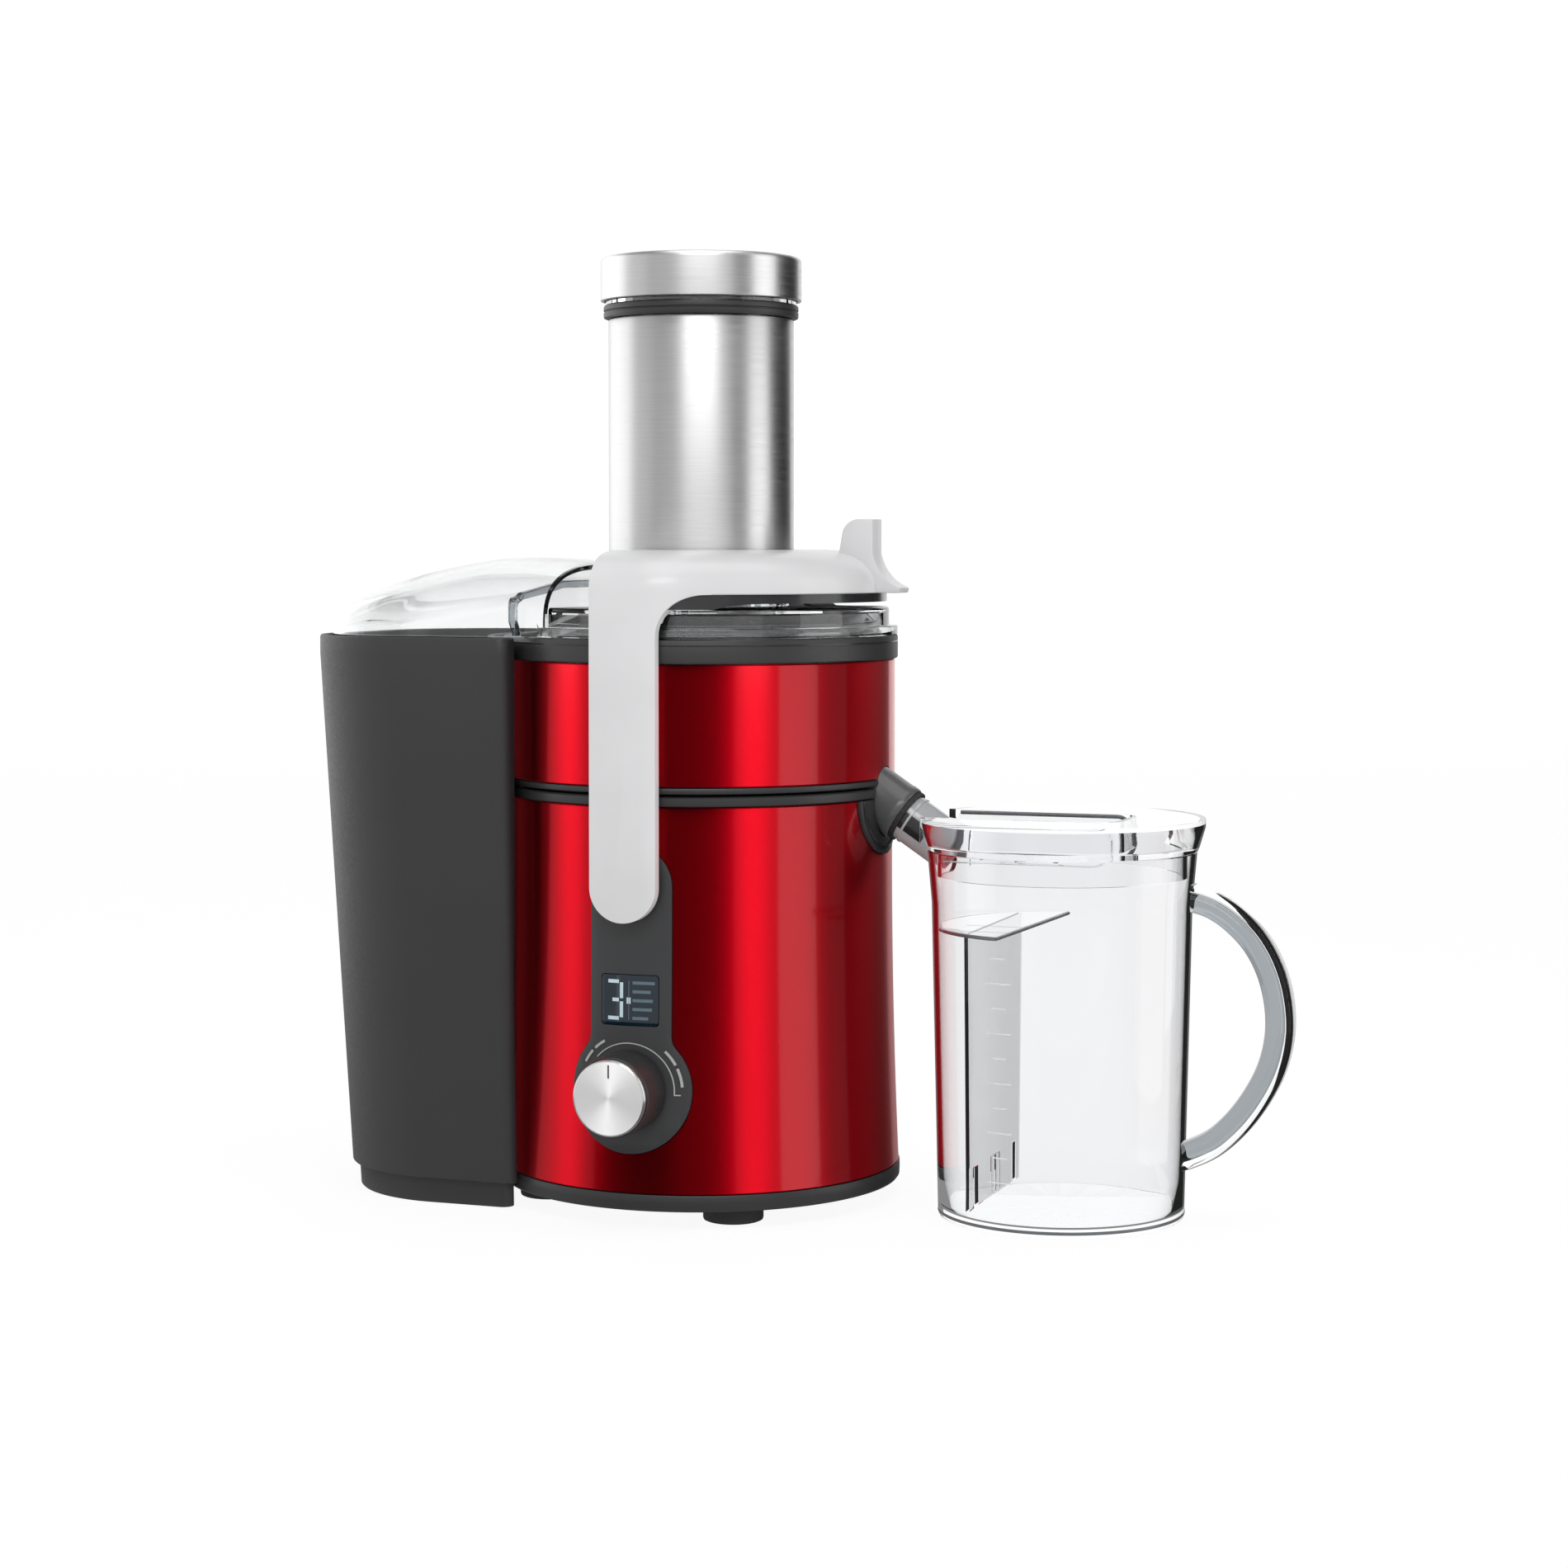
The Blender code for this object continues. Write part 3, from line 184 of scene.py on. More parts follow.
def lengthen(tree, shader, axis, amount, turn):
    """Stretches the highlight along or across the circles about an axis."""
    tangent = tree.nodes.new("ShaderNodeTangent")
    tangent.direction_type = "RADIAL"
    tangent.axis = axis
    tree.links.new(tangent.outputs["Tangent"], shader.inputs["Tangent"])
    shader.inputs["Anisotropic"].default_value = amount
    shader.inputs["Anisotropic Rotation"].default_value = turn


def brushed(name, colour, roughness, stretch, scale=60, depth=0.00002, change=0.10, upright=0.0):
    """Brushed metal, with its lines along the axes that are stretched least."""
    made, tree, shader, place = new_material(name)
    lines = noise(tree, place, scale, stretch, 4.0)
    tone = tint(tree, lines, shaded(colour, -change), shaded(colour, change))
    tree.links.new(tone, shader.inputs["Base Color"])
    tree.links.new(spread(tree, lines, roughness - 0.05, roughness + 0.07), shader.inputs["Roughness"])
    bump(tree, shader, lines, 0.25, depth)
    shader.inputs["Metallic"].default_value = 1.0
    if upright:
        lengthen(tree, shader, "Z", upright, 0.25)
    return made


def lacquer():
    """Red metallic lacquer: fine flakes in a red base, under a clear coat."""
    made, tree, shader, place = new_material("red_lacquer")
    flakes = noise(tree, place, 3000)
    red = tint(tree, flakes, (0.80, 0.0012, 0.012), (0.88, 0.0018, 0.018))
    tree.links.new(red, shader.inputs["Base Color"])
    tree.links.new(spread(tree, noise(tree, place, 400), 0.42, 0.46), shader.inputs["Roughness"])
    lengthen(tree, shader, "Z", 0.85, 0.25)
    shader.inputs["Metallic"].default_value = 1.0
    shader.inputs["Coat Weight"].default_value = 0.6
    shader.inputs["Coat Roughness"].default_value = 0.10
    return made


def clear(name, colour, roughness=0.03, ior=1.45, waves=0.00006):
    """Clear moulded plastic, with the faint waviness of a moulded wall."""
    made, tree, shader, place = new_material(name)
    slow = noise(tree, place, 26)
    bump(tree, shader, slow, 0.30, waves)
    shader.inputs["Base Color"].default_value = (*colour, 1)
    shader.inputs["Roughness"].default_value = roughness
    shader.inputs["IOR"].default_value = ior
    shader.inputs["Transmission Weight"].default_value = 1.0
    return made


def spun():
    """Spun aluminium: fine rings about the knob's axis, which pull the light into two opposite fans."""
    made, tree, shader, place = new_material("spun_aluminium")
    rings = tree.nodes.new("ShaderNodeTexWave")
    rings.wave_type = "RINGS"
    rings.rings_direction = "Y"
    rings.inputs["Scale"].default_value = 900
    rings.inputs["Distortion"].default_value = 1.5
    tree.links.new(place, rings.inputs["Vector"])
    tree.links.new(spread(tree, rings.outputs["Fac"], 0.24, 0.32), shader.inputs["Roughness"])
    tone = tint(tree, rings.outputs["Fac"], (0.74, 0.74, 0.74), (0.86, 0.86, 0.86))
    tree.links.new(tone, shader.inputs["Base Color"])
    lengthen(tree, shader, "Y", 0.85, 0.25)
    shader.inputs["Metallic"].default_value = 1.0
    return made


def perforated():
    """Stainless strainer mesh: rows of dimples over bright steel."""
    made, tree, shader, place = new_material("strainer_mesh")
    holes = tree.nodes.new("ShaderNodeTexVoronoi")
    holes.inputs["Scale"].default_value = 700
    holes.inputs["Randomness"].default_value = 0.05
    tree.links.new(place, holes.inputs["Vector"])
    tone = tint(tree, holes.outputs["Distance"], (0.05, 0.05, 0.05), (0.62, 0.62, 0.62))
    tree.links.new(tone, shader.inputs["Base Color"])
    bump(tree, shader, holes.outputs["Distance"], 0.8, 0.0002)
    shader.inputs["Metallic"].default_value = 1.0
    shader.inputs["Roughness"].default_value = 0.30
    return made


def wound():
    """Copper winding wire."""
    made, tree, shader, place = new_material("copper_winding")
    wires = tree.nodes.new("ShaderNodeTexWave")
    wires.bands_direction = "DIAGONAL"
    wires.inputs["Scale"].default_value = 260
    wires.inputs["Distortion"].default_value = 0.6
    tree.links.new(place, wires.inputs["Vector"])
    tone = tint(tree, wires.outputs["Fac"], (0.42, 0.15, 0.06), (0.82, 0.36, 0.17))
    tree.links.new(tone, shader.inputs["Base Color"])
    bump(tree, shader, wires.outputs["Fac"], 0.6, 0.0002)
    shader.inputs["Metallic"].default_value = 1.0
    shader.inputs["Roughness"].default_value = 0.35
    return made


def glowing(name, colour, strength):
    """A lit display mark."""
    made, tree, shader, place = new_material(name)
    tone = tint(tree, noise(tree, place, 600), shaded(colour, -0.12), colour)
    tree.links.new(tone, shader.inputs["Base Color"])
    tree.links.new(tone, shader.inputs["Emission Color"])
    shader.inputs["Emission Strength"].default_value = strength
    shader.inputs["Roughness"].default_value = 0.4
    return made


LACQUER = lacquer()
DARK = moulded("dark_plastic", (0.029, 0.029, 0.030), 0.42)
BIN = moulded("bin_plastic", (0.034, 0.034, 0.036), 0.48, 700)
PANEL = moulded("panel_plastic", (0.040, 0.041, 0.043), 0.36, 1200, 0.00002)
GLOSSY_DARK = moulded("gloss_dark_plastic", (0.020, 0.020, 0.022), 0.22, 500, 0.00001, 0.3)
ARM = moulded("arm_plastic", (0.69, 0.69, 0.70), 0.34, 1100, 0.00001, 0.2)
SLEEVE = brushed("sleeve_steel", (0.70, 0.70, 0.705), 0.40, (1, 1, 40), change=0.05, upright=0.7)
CAP = brushed("cap_metal", (0.76, 0.76, 0.765), 0.38, (1, 1, 30), 50, change=0.05, upright=0.7)
STEEL = brushed("plain_steel", (0.68, 0.68, 0.69), 0.26, (1, 1, 12), 80)
IRON = brushed("iron_laminations", (0.22, 0.22, 0.24), 0.42, (0.2, 0.2, 90), 30, 0.0001, 0.25)
BRASS = brushed("brass_holders", (0.72, 0.50, 0.22), 0.34, (1, 1, 8), 90)
SPUN = spun()
MESH = perforated()
COPPER = wound()
CLEAR = clear("clear_plastic", (0.95, 0.957, 0.96))
JUG = clear("jug_plastic", (0.950, 0.956, 0.962), 0.02, 1.28, 0.00004)
HANDLE = clear("handle_plastic", (0.90, 0.92, 0.93), 0.02, 1.48, 0.00002)
CORE = clear("handle_core", (0.36, 0.39, 0.41), 0.04, 1.40, 0.00003)
EDGE = moulded("clear_edges", (0.14, 0.15, 0.16), 0.20, 600, 0.00002, 0.3)
SMOKY = clear("smoky_plastic", (0.20, 0.21, 0.22), 0.12)
NOZZLE = moulded("nozzle_plastic", (0.42, 0.43, 0.44), 0.20, 500, 0.00001, 0.5)
COLLAR = moulded("collar_plastic", (0.085, 0.088, 0.090), 0.32, 800, 0.00002, 0.2)
RUBBER = moulded("rubber", (0.022, 0.022, 0.023), 0.72, 700, 0.00008)
BOARD = moulded("circuit_board", (0.015, 0.13, 0.05), 0.5, 240)
GLASS = moulded("display_glass", (0.003, 0.013, 0.022), 0.10, 300, 0.00001, 0.5)
DIGIT = glowing("display_digit", (0.42, 0.52, 0.57), 0.30)
ROW_MARK = glowing("display_rows", (0.10, 0.15, 0.18), 0.12)
PRINT = moulded("pale_print", (0.42, 0.42, 0.42), 0.5, 900)
ENGRAVED = moulded("engraved_mark", (0.10, 0.10, 0.10), 0.5, 900)
FAINT = moulded("measuring_marks", (0.80, 0.81, 0.82), 0.5, 900)


# ---------------------------------------------------------------- outlines


def arc(centre, radius, start, end, steps):
    """Points on an arc, from start to end in degrees, both ends included."""
    points = []
    for step in range(steps + 1):
        angle = math.radians(start + (end - start) * step / steps)
        points.append((centre[0] + radius * math.cos(angle), centre[1] + radius * math.sin(angle)))
    return points


def rounded(corners, steps=6):
    """A closed outline through corners of (x, y, radius), with each corner rounded by its radius."""
    outline = []
    count = len(corners)
    for index, (x, y, radius) in enumerate(corners):
        here = Vector((x, y))
        if radius == 0:
            outline.append((x, y))
            continue
        before = (Vector(corners[index - 1][:2]) - here).normalized()
        after = (Vector(corners[(index + 1) % count][:2]) - here).normalized()
        half = before.angle(after) / 2
        reach = radius / math.tan(half)
        centre = here + (before + after).normalized() * (radius / math.sin(half))
        first = here + before * reach - centre
        last = here + after * reach - centre
        start = math.degrees(math.atan2(first.y, first.x))
        turn = (math.degrees(math.atan2(last.y, last.x)) - start + 180) % 360 - 180
        outline += arc(tuple(centre), radius, start, start + turn, steps)
    return outline


def box_outline(x0, y0, x1, y1, radius=0.0):
    """A rectangle's outline, with rounded corners if radius is given."""
    return rounded([(x0, y0, radius), (x1, y0, radius), (x1, y1, radius), (x0, y1, radius)])


def polar(radius, degrees):
    """The point at that radius and angle about the juicer's axis."""
    return (radius * math.cos(math.radians(degrees)), radius * math.sin(math.radians(degrees)))


# ---------------------------------------------------------------- solids


def ring_mesh(rings, closed=False):
    """A bmesh through equal rings of points, capped at both ends or joined end to end."""
    made = bmesh.new()
    loops = [[made.verts.new(point) for point in ring] for ring in rings]
    size = len(rings[0])
    pairs = list(zip(loops, loops[1:]))
    if closed:
        pairs.append((loops[-1], loops[0]))
    for lower, upper in pairs:
        for index in range(size):
            following = (index + 1) % size
            made.faces.new((lower[index], lower[following], upper[following], upper[index]))
    if not closed:
        made.faces.new(loops[0])
        made.faces.new(loops[-1])
    return made


def turned(profile, sides=ROUND, centre=(0, 0), phase=0.5):
    """A bmesh turned about an upright line, from a closed profile of (radius, z) points."""
    made = bmesh.new()
    columns = []
    for side in range(sides):
        angle = 2 * math.pi * (side + phase) / sides
        column = []
        for index, (radius, z) in enumerate(profile):
            if radius < 1e-9 and side > 0:
                column.append(columns[0][index])
            else:
                x = centre[0] + radius * math.cos(angle)
                column.append(made.verts.new((x, centre[1] + radius * math.sin(angle), z)))
        columns.append(column)
    for side in range(sides):
        here = columns[side]
        there = columns[(side + 1) % sides]
        for index in range(len(profile)):
            following = (index + 1) % len(profile)
            corners = dict.fromkeys((here[index], there[index], there[following], here[following]))
            if len(corners) > 2:
                made.faces.new(list(corners))
    return made


def prism(outline, bottom, top):
    """A bmesh of a flat outline between two heights."""
    return ring_mesh([[(x, y, bottom) for x, y in outline], [(x, y, top) for x, y in outline]])


def front_prism(outline, near, far):
    """A bmesh of an outline of (x, z) points, between two depths along Y."""
    return ring_mesh([[(x, near, z) for x, z in outline], [(x, far, z) for x, z in outline]])


def side_prism(outline, left, right):
    """A bmesh of an outline of (y, z) points, between two places along X."""
    return ring_mesh([[(left, y, z) for y, z in outline], [(right, y, z) for y, z in outline]])


def tilted(profile, start=SPOUT_PLACE, slope=SPOUT_SLOPE, sides=MEDIUM):
    """A bmesh turned about a line that runs from start towards +X and down by slope."""
    made = turned(profile, sides, (0, 0), CUTTER_PHASE)
    made.transform(Matrix.Translation(start) @ Matrix.Rotation(math.pi / 2 + slope, 4, "Y"))
    return made


def lying(profile, centre, sides=MEDIUM):
    """A bmesh turned about a line along -Y through centre. The profile's heights run towards -Y."""
    made = turned(profile, sides, (0, 0), CUTTER_PHASE)
    made.transform(Matrix.Translation(centre) @ Matrix.Rotation(math.pi / 2, 4, "X"))
    return made


def spun_round(made, angle):
    """The bmesh turned about the juicer's axis."""
    made.transform(Matrix.Rotation(angle, 4, "Z"))
    return made


def joined(*parts):
    """One bmesh with the faces of them all."""
    made = bmesh.new()
    buffer = bpy.data.meshes.new("buffer")
    for part in parts:
        part.to_mesh(buffer)
        part.free()
        made.from_mesh(buffer)
    bpy.data.meshes.remove(buffer)
    return made


def held(made):
    """A passing object that holds a bmesh, for a modifier to work on."""
    bmesh.ops.recalc_face_normals(made, faces=made.faces)
    mesh = bpy.data.meshes.new("held")
    made.to_mesh(mesh)
    made.free()
    found = bpy.data.objects.new("held", mesh)
    bpy.context.scene.collection.objects.link(found)
    return found


def evaluated(target, *helpers):
    """The bmesh that an object's modifiers make. The object and its helpers are then removed."""
    bpy.context.view_layer.update()
    made = bmesh.new()
    made.from_object(target, bpy.context.evaluated_depsgraph_get())
    for old in (target, *helpers):
        bpy.data.meshes.remove(old.data, do_unlink=True)
    return made


def combined(body, tool, operation="DIFFERENCE"):
    """The first bmesh with the second one taken away, added or kept."""
    target = held(body)
    helper = held(tool)
    modifier = target.modifiers.new("Combine", "BOOLEAN")
    modifier.operation = operation
    modifier.solver = "EXACT"
    modifier.object = helper
    return evaluated(target, helper)


def bevelled(body, width, segments=3, limit=35):
    """The bmesh with its sharp edges rounded."""
    target = held(body)
    modifier = target.modifiers.new("Round", "BEVEL")
    modifier.width = width
    modifier.segments = segments
    modifier.limit_method = "ANGLE"
    modifier.angle_limit = math.radians(limit)
    return evaluated(target)


def piece(name, made, finish, body, replaces=(), origin=(0, 0, 0), crease=32):
    """A visible piece from a bmesh drawn about the juicer's axis, riding on a body."""
    bmesh.ops.remove_doubles(made, verts=made.verts, dist=1e-6)
    bmesh.ops.recalc_face_normals(made, faces=made.faces)
    made.transform(Matrix.Translation(-Vector(origin)))
    mesh = bpy.data.meshes.new(name)
    made.to_mesh(mesh)
    made.free()
    mesh.materials.append(finish)
    mesh.shade_smooth()
    mesh.set_sharp_from_angle(angle=math.radians(crease))
    shown = bpy.data.objects.new(name, mesh)
    shown.location = AXIS + Vector(origin)
    bpy.context.scene.collection.objects.link(shown)
    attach(shown, body)
    if replaces:
        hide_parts(*replaces)
    return shown


# ---------------------------------------------------------------- base


def lower_radius(z):
    """Outer radius of the lower skin, which flares gently towards the table."""
    reach = max(0.0, (0.1550 - z) / (0.1550 - BASE_RING_TOP))
    return LOWER_RADIUS + FLARE * reach**2


def skin_profile(lift, thickness, bottom, top, steps=16, roll=0.0004):
    """Profile of a shell that follows the lower skin, with its outer edges rolled over."""
    levels = [bottom + (top - bottom) * step / steps for step in range(steps + 1)]
    outside = [(lower_radius(bottom) + lift - roll, bottom)]
    outside += [(lower_radius(z) + lift, min(max(z, bottom + roll), top - roll)) for z in levels]
    outside.append((lower_radius(top) + lift - roll, top))
    inside = [(lower_radius(z) + lift - thickness, z) for z in reversed(levels)]
    return outside + inside


def skin_patch(outline, lift, thickness, turn=0.0, edge=0.0004):
    """A piece of shell with an outline of (x, z) points, with its outer edge rounded."""
    bottom = min(z for _, z in outline) - 0.004
    top = max(z for _, z in outline) + 0.004
    shell = turned(skin_profile(lift, thickness, bottom, top), ROUND)
    cutter = spun_round(front_prism(outline, *FRONT_CUT), turn)
    return bevelled(combined(shell, cutter, "INTERSECT"), edge, 2, 50)


def panel_outline(grow=0.0):
    """The control panel's keyhole outline, grown outward by grow."""
    half = 0.0183 + grow
    circle = 0.0270 + grow
    fillet = 0.0080 - grow
    rise = math.sqrt((circle + fillet) ** 2 - (half + fillet) ** 2)
    tilt = math.degrees(math.atan2(rise, half + fillet))
    outline = arc((0, ARM_PIVOT_Z), half, 0, 180, 40)
    outline += arc((-half - fillet, KNOB_Z + rise), fillet, 0, -tilt, 8)
    outline += arc((0, KNOB_Z), circle, 180 - tilt, 360 + tilt, 60)[1:-1]
    outline += arc((half + fillet, KNOB_Z + rise), fillet, 180 + tilt, 180, 8)
    return outline


def bib_outline(grow=0.0):
    """The half disc under the spout."""
    return arc((0, LOWER_SKIN_TOP), BIB_RADIUS + grow, 180, 360, 40)


def spout_cylinder(radius, start, end):
    """A cylinder on the spout's axis, between two distances from its reference point."""
    return tilted([(0, start), (radius, start), (radius, end), (0, end)])


def make_base():
    """Base ring, feet, lower skin, deck strip, spout bib and cord gland."""
    ring = [
        (0, 0.0083), (0.0850, 0.0083), (0.0862, 0.0072), (0.0872, 0.0070), (0.0882, 0.0072), (0.0888, 0.0080),
        (0.0889, 0.0110), (0.0889, 0.0136), (0.0886, 0.0142), (0.0860, 0.0142), (0.0850, 0.0110), (0, 0.0110),
    ]
    slots = []
    for index in range(6):
        slots.append(prism(box_outline(0.024, -0.0022, 0.046, 0.0022, 0.0021), 0.0, 0.02))
        spun_round(slots[-1], math.radians(60 * index + 10))
    screw_hole = [(0, 0), (0.0023, 0), (0.0023, 0.02), (0, 0.02)]
    for index in range(4):
        slots.append(turned(screw_hole, SMALL, polar(0.062, -13 + 90 * index)))
    plate = combined(turned(ring), joined(*slots))
    piece("base_ring", plate, DARK, "juicer", ["base_plate"])
    foot = [(0, 0), (0.0118, 0), (0.0127, 0.0004), (0.0130, 0.0012), (0.0130, 0.0080), (0, 0.0080)]
    for index in range(1, 5):
        pad = turned(foot, MEDIUM, polar(0.069, -148 + 90 * index))
        piece(f"rubber_foot_{index}", pad, RUBBER, "juicer", [f"foot_{index}"])

    skin = turned(skin_profile(0, SKIN_WALL, BASE_RING_TOP, LOWER_SKIN_TOP))
    skin = combined(skin, front_prism(panel_outline(0.0003), *FRONT_CUT))
    notch = front_prism(bib_outline(0.0003) + [(BIB_RADIUS, 0.19), (-BIB_RADIUS, 0.19)], *FRONT_CUT)
    skin = combined(skin, spun_round(notch, math.pi / 2))
    for z, radius in ((ARM_PIVOT_Z, PIN_HOLE), (GLAND_Z, 0.0068)):
        hole = lying([(0, 0.060), (radius, 0.060), (radius, 0.110), (0, 0.110)], (0, 0, z), SMALL)
        skin = combined(skin, spun_round(hole, math.pi))
    piece("lower_skin", skin, LACQUER, "juicer", ["lower_red_skin"])

    deck = [
        (0.0125, 0.1665), (0.0160, 0.1690), (0.0700, 0.1690), (0.0775, 0.1762), (0.0812, 0.1785),
        (0.0862, 0.1786), (0.0868, 0.1791), (0.0869, 0.1805), (0.0868, 0.1822), (0.0860, 0.1828),
        (0.0790, 0.1833), (0.0690, 0.1715), (0.0160, 0.1715), (0.0155, 0.1770), (0.0125, 0.1770),
    ]
    deck = combined(turned(deck), spout_cylinder(SPOUT_HOLE, -0.040, 0.040))
    piece("deck_strip", deck, DARK, "juicer", ["base_top_deck"])
    bib = skin_patch(bib_outline(), 0.0012, 0.0034, math.pi / 2)
    bib = combined(bib, spout_cylinder(SPOUT_HOLE, -0.040, 0.040))
    piece("spout_frame", bib, DARK, "juicer", ["spout_bib"])
    lip = skin_patch(bib_outline(-0.0020), 0.0018, 0.0010, math.pi / 2, 0.0002)
    inner = front_prism(bib_outline(-0.0034) + [(0.0212, 0.19), (-0.0212, 0.19)], *FRONT_CUT)
    lip = combined(lip, spun_round(inner, math.pi / 2))
    piece("spout_frame_lip", lip, GLOSSY_DARK, "juicer")

    gland = [
        (0.0035, 0.0790), (0.0064, 0.0790), (0.0064, 0.0878), (0.0092, 0.0878), (0.0095, 0.0884),
        (0.0090, 0.0905), (0.0068, 0.0918), (0.0060, 0.0935), (0.0056, 0.0980), (0.0052, 0.0985),
        (0.0035, 0.0985),
    ]
    gland = spun_round(lying(gland, (0, 0, GLAND_Z)), math.pi)
    piece("strain_relief", gland, RUBBER, "juicer", ["cord_gland"])
    for step in range(6):
        left = -0.020 + 0.0078 * step
        right = -0.0165 + 0.0078 * step
        outline = [(x, z + 0.0560) for x, z in box_outline(left, 0.0, right, 0.0240, 0.0016)]
        vent = skin_patch(outline, 0.00025, 0.0008, math.pi, 0.0002)
        piece(f"rear_vent_{step + 1}", vent, GLOSSY_DARK, "juicer")


# ---------------------------------------------------------------- control panel


def surface_strip(points, width, lift=0.0009, thick=0.0002, close=False):
    """A flat strip along (x, z) points, laid over the panel's curved face."""
    rings = []
    count = len(points)
    for index, (x, z) in enumerate(points):
        before = points[index - 1] if close or index else points[0]
        after = points[(index + 1) % count] if close or index < count - 1 else points[-1]
        along = Vector((after[0] - before[0], after[1] - before[1])).normalized()
        side = Vector((-along.y, along.x)) * (width / 2)
        ring = []
        for sign, height in ((1, 0), (1, thick), (-1, thick), (-1, 0)):
            px = x + sign * side.x
            pz = z + sign * side.y
            radius = lower_radius(pz) + lift - 0.0001 + height
            ring.append((px, -math.sqrt(radius**2 - px**2), pz))
        rings.append(ring)
    return ring_mesh(rings, close)


def bar(x0, x1, z, height, lift=0.0009):
    """A short level bar on the panel's face."""
    steps = 4
    return surface_strip([(x0 + (x1 - x0) * step / steps, z) for step in range(steps + 1)], height, lift)


def upright(x, z0, z1, width, lift=0.0009):
    """A short upright bar on the panel's face."""
    return surface_strip([(x, z0), (x, (z0 + z1) / 2), (x, z1)], width, lift)


def make_panel():
    """Panel, display with its marks, and knob."""
    panel = skin_patch(panel_outline(), 0.0006, 0.0026, 0.0, 0.0005)
    window = box_outline(-0.01315, DISPLAY_Z - 0.01095, 0.01315, DISPLAY_Z + 0.01095, 0.0016)
    panel = combined(panel, front_prism(window, *FRONT_CUT))
    for z, radius in ((KNOB_Z, 0.0045), (ARM_PIVOT_Z, PIN_HOLE)):
        hole = lying([(0, 0.06), (radius, 0.06), (radius, 0.11), (0, 0.11)], (0, 0, z), SMALL)
        panel = combined(panel, hole)
    piece("panel_inlay", panel, PANEL, "juicer", ["control_panel"])
    glass = box_outline(-0.01285, DISPLAY_Z - 0.01065, 0.01285, DISPLAY_Z + 0.01065, 0.0015)
    glass = skin_patch(glass, 0.0006, 0.0014, 0.0, 0.0002)
    piece("display_glass", glass, GLASS, "juicer", ["display_window"])

    lift = 0.00065
    left, right, low, high = -0.0098, -0.0036, DISPLAY_Z - 0.0078, DISPLAY_Z + 0.0078
    middle = (low + high) / 2
    marks = [bar(left, right - 0.0012, z, 0.0015, lift) for z in (low, high)]
    marks.append(bar(left + 0.0020, right - 0.0012, middle, 0.0015, lift))
    marks.append(upright(right, low + 0.0004, middle - 0.0007, 0.0015, lift))
    marks.append(upright(right, middle + 0.0007, high - 0.0004, 0.0015, lift))
    marks.append(bar(-0.0012, 0.0006, middle - 0.0002, 0.0026, lift))
    piece("display_digit", joined(*marks), DIGIT, "juicer")
    rows = [upright(-0.0002, low - 0.0005, high + 0.0005, 0.0003, lift)]
    for row, width in enumerate((0.0098, 0.0080, 0.0090, 0.0086, 0.0070)):
        rows.append(bar(0.0015, 0.0015 + width, high - 0.0004 - 0.00375 * row, 0.0013, lift))
    piece("display_rows", joined(*rows), ROW_MARK, "juicer")

    marks = [surface_strip(arc((0, KNOB_Z), 0.0200, 138, -4, 60), 0.0005)]
    marks.append(surface_strip([(radius, KNOB_Z - 0.0014) for radius in (0.0198, 0.0212, 0.0226)], 0.0005))
    for start, end in ((152, 137), (133, 119), (47, 29), (25, 5)):
        marks.append(surface_strip(arc((0, KNOB_Z), 0.0233, start, end, 12), 0.0011))
    piece("knob_scale", joined(*marks), PRINT, "juicer")

    centre = (0, 0, KNOB_Z)
    place = (0, -0.0880, KNOB_Z)
    body = [
        (0, 0.0806), (0.0030, 0.0806), (0.0030, 0.0886), (0.0160, 0.0886), (0.0169, 0.0889), (0.0172, 0.0896),
        (0.0172, 0.1066), (0.0171, 0.1072), (0.0168, 0.1078), (0.0165, 0.1080), (0.01635, 0.1072), (0, 0.1072),
    ]
    piece("knob_grip", lying(body, centre, 96), DARK, "knob", ["knob_body"], place)
    face = [(0, 0.1075), (0.0162, 0.1075), (0.0162, 0.1093), (0.0160, 0.1097), (0.0154, 0.1100), (0, 0.1100)]
    piece("knob_disc", lying(face, centre, 128), SPUN, "knob", ["knob_face"], place, 20)
    line = box_outline(-0.0004, KNOB_Z + 0.0085, 0.0004, KNOB_Z + 0.0142, 0.0002)
    piece("knob_index", front_prism(line, -0.11005, -0.1098), ENGRAVED, "knob", origin=place)


# ---------------------------------------------------------------- bowl


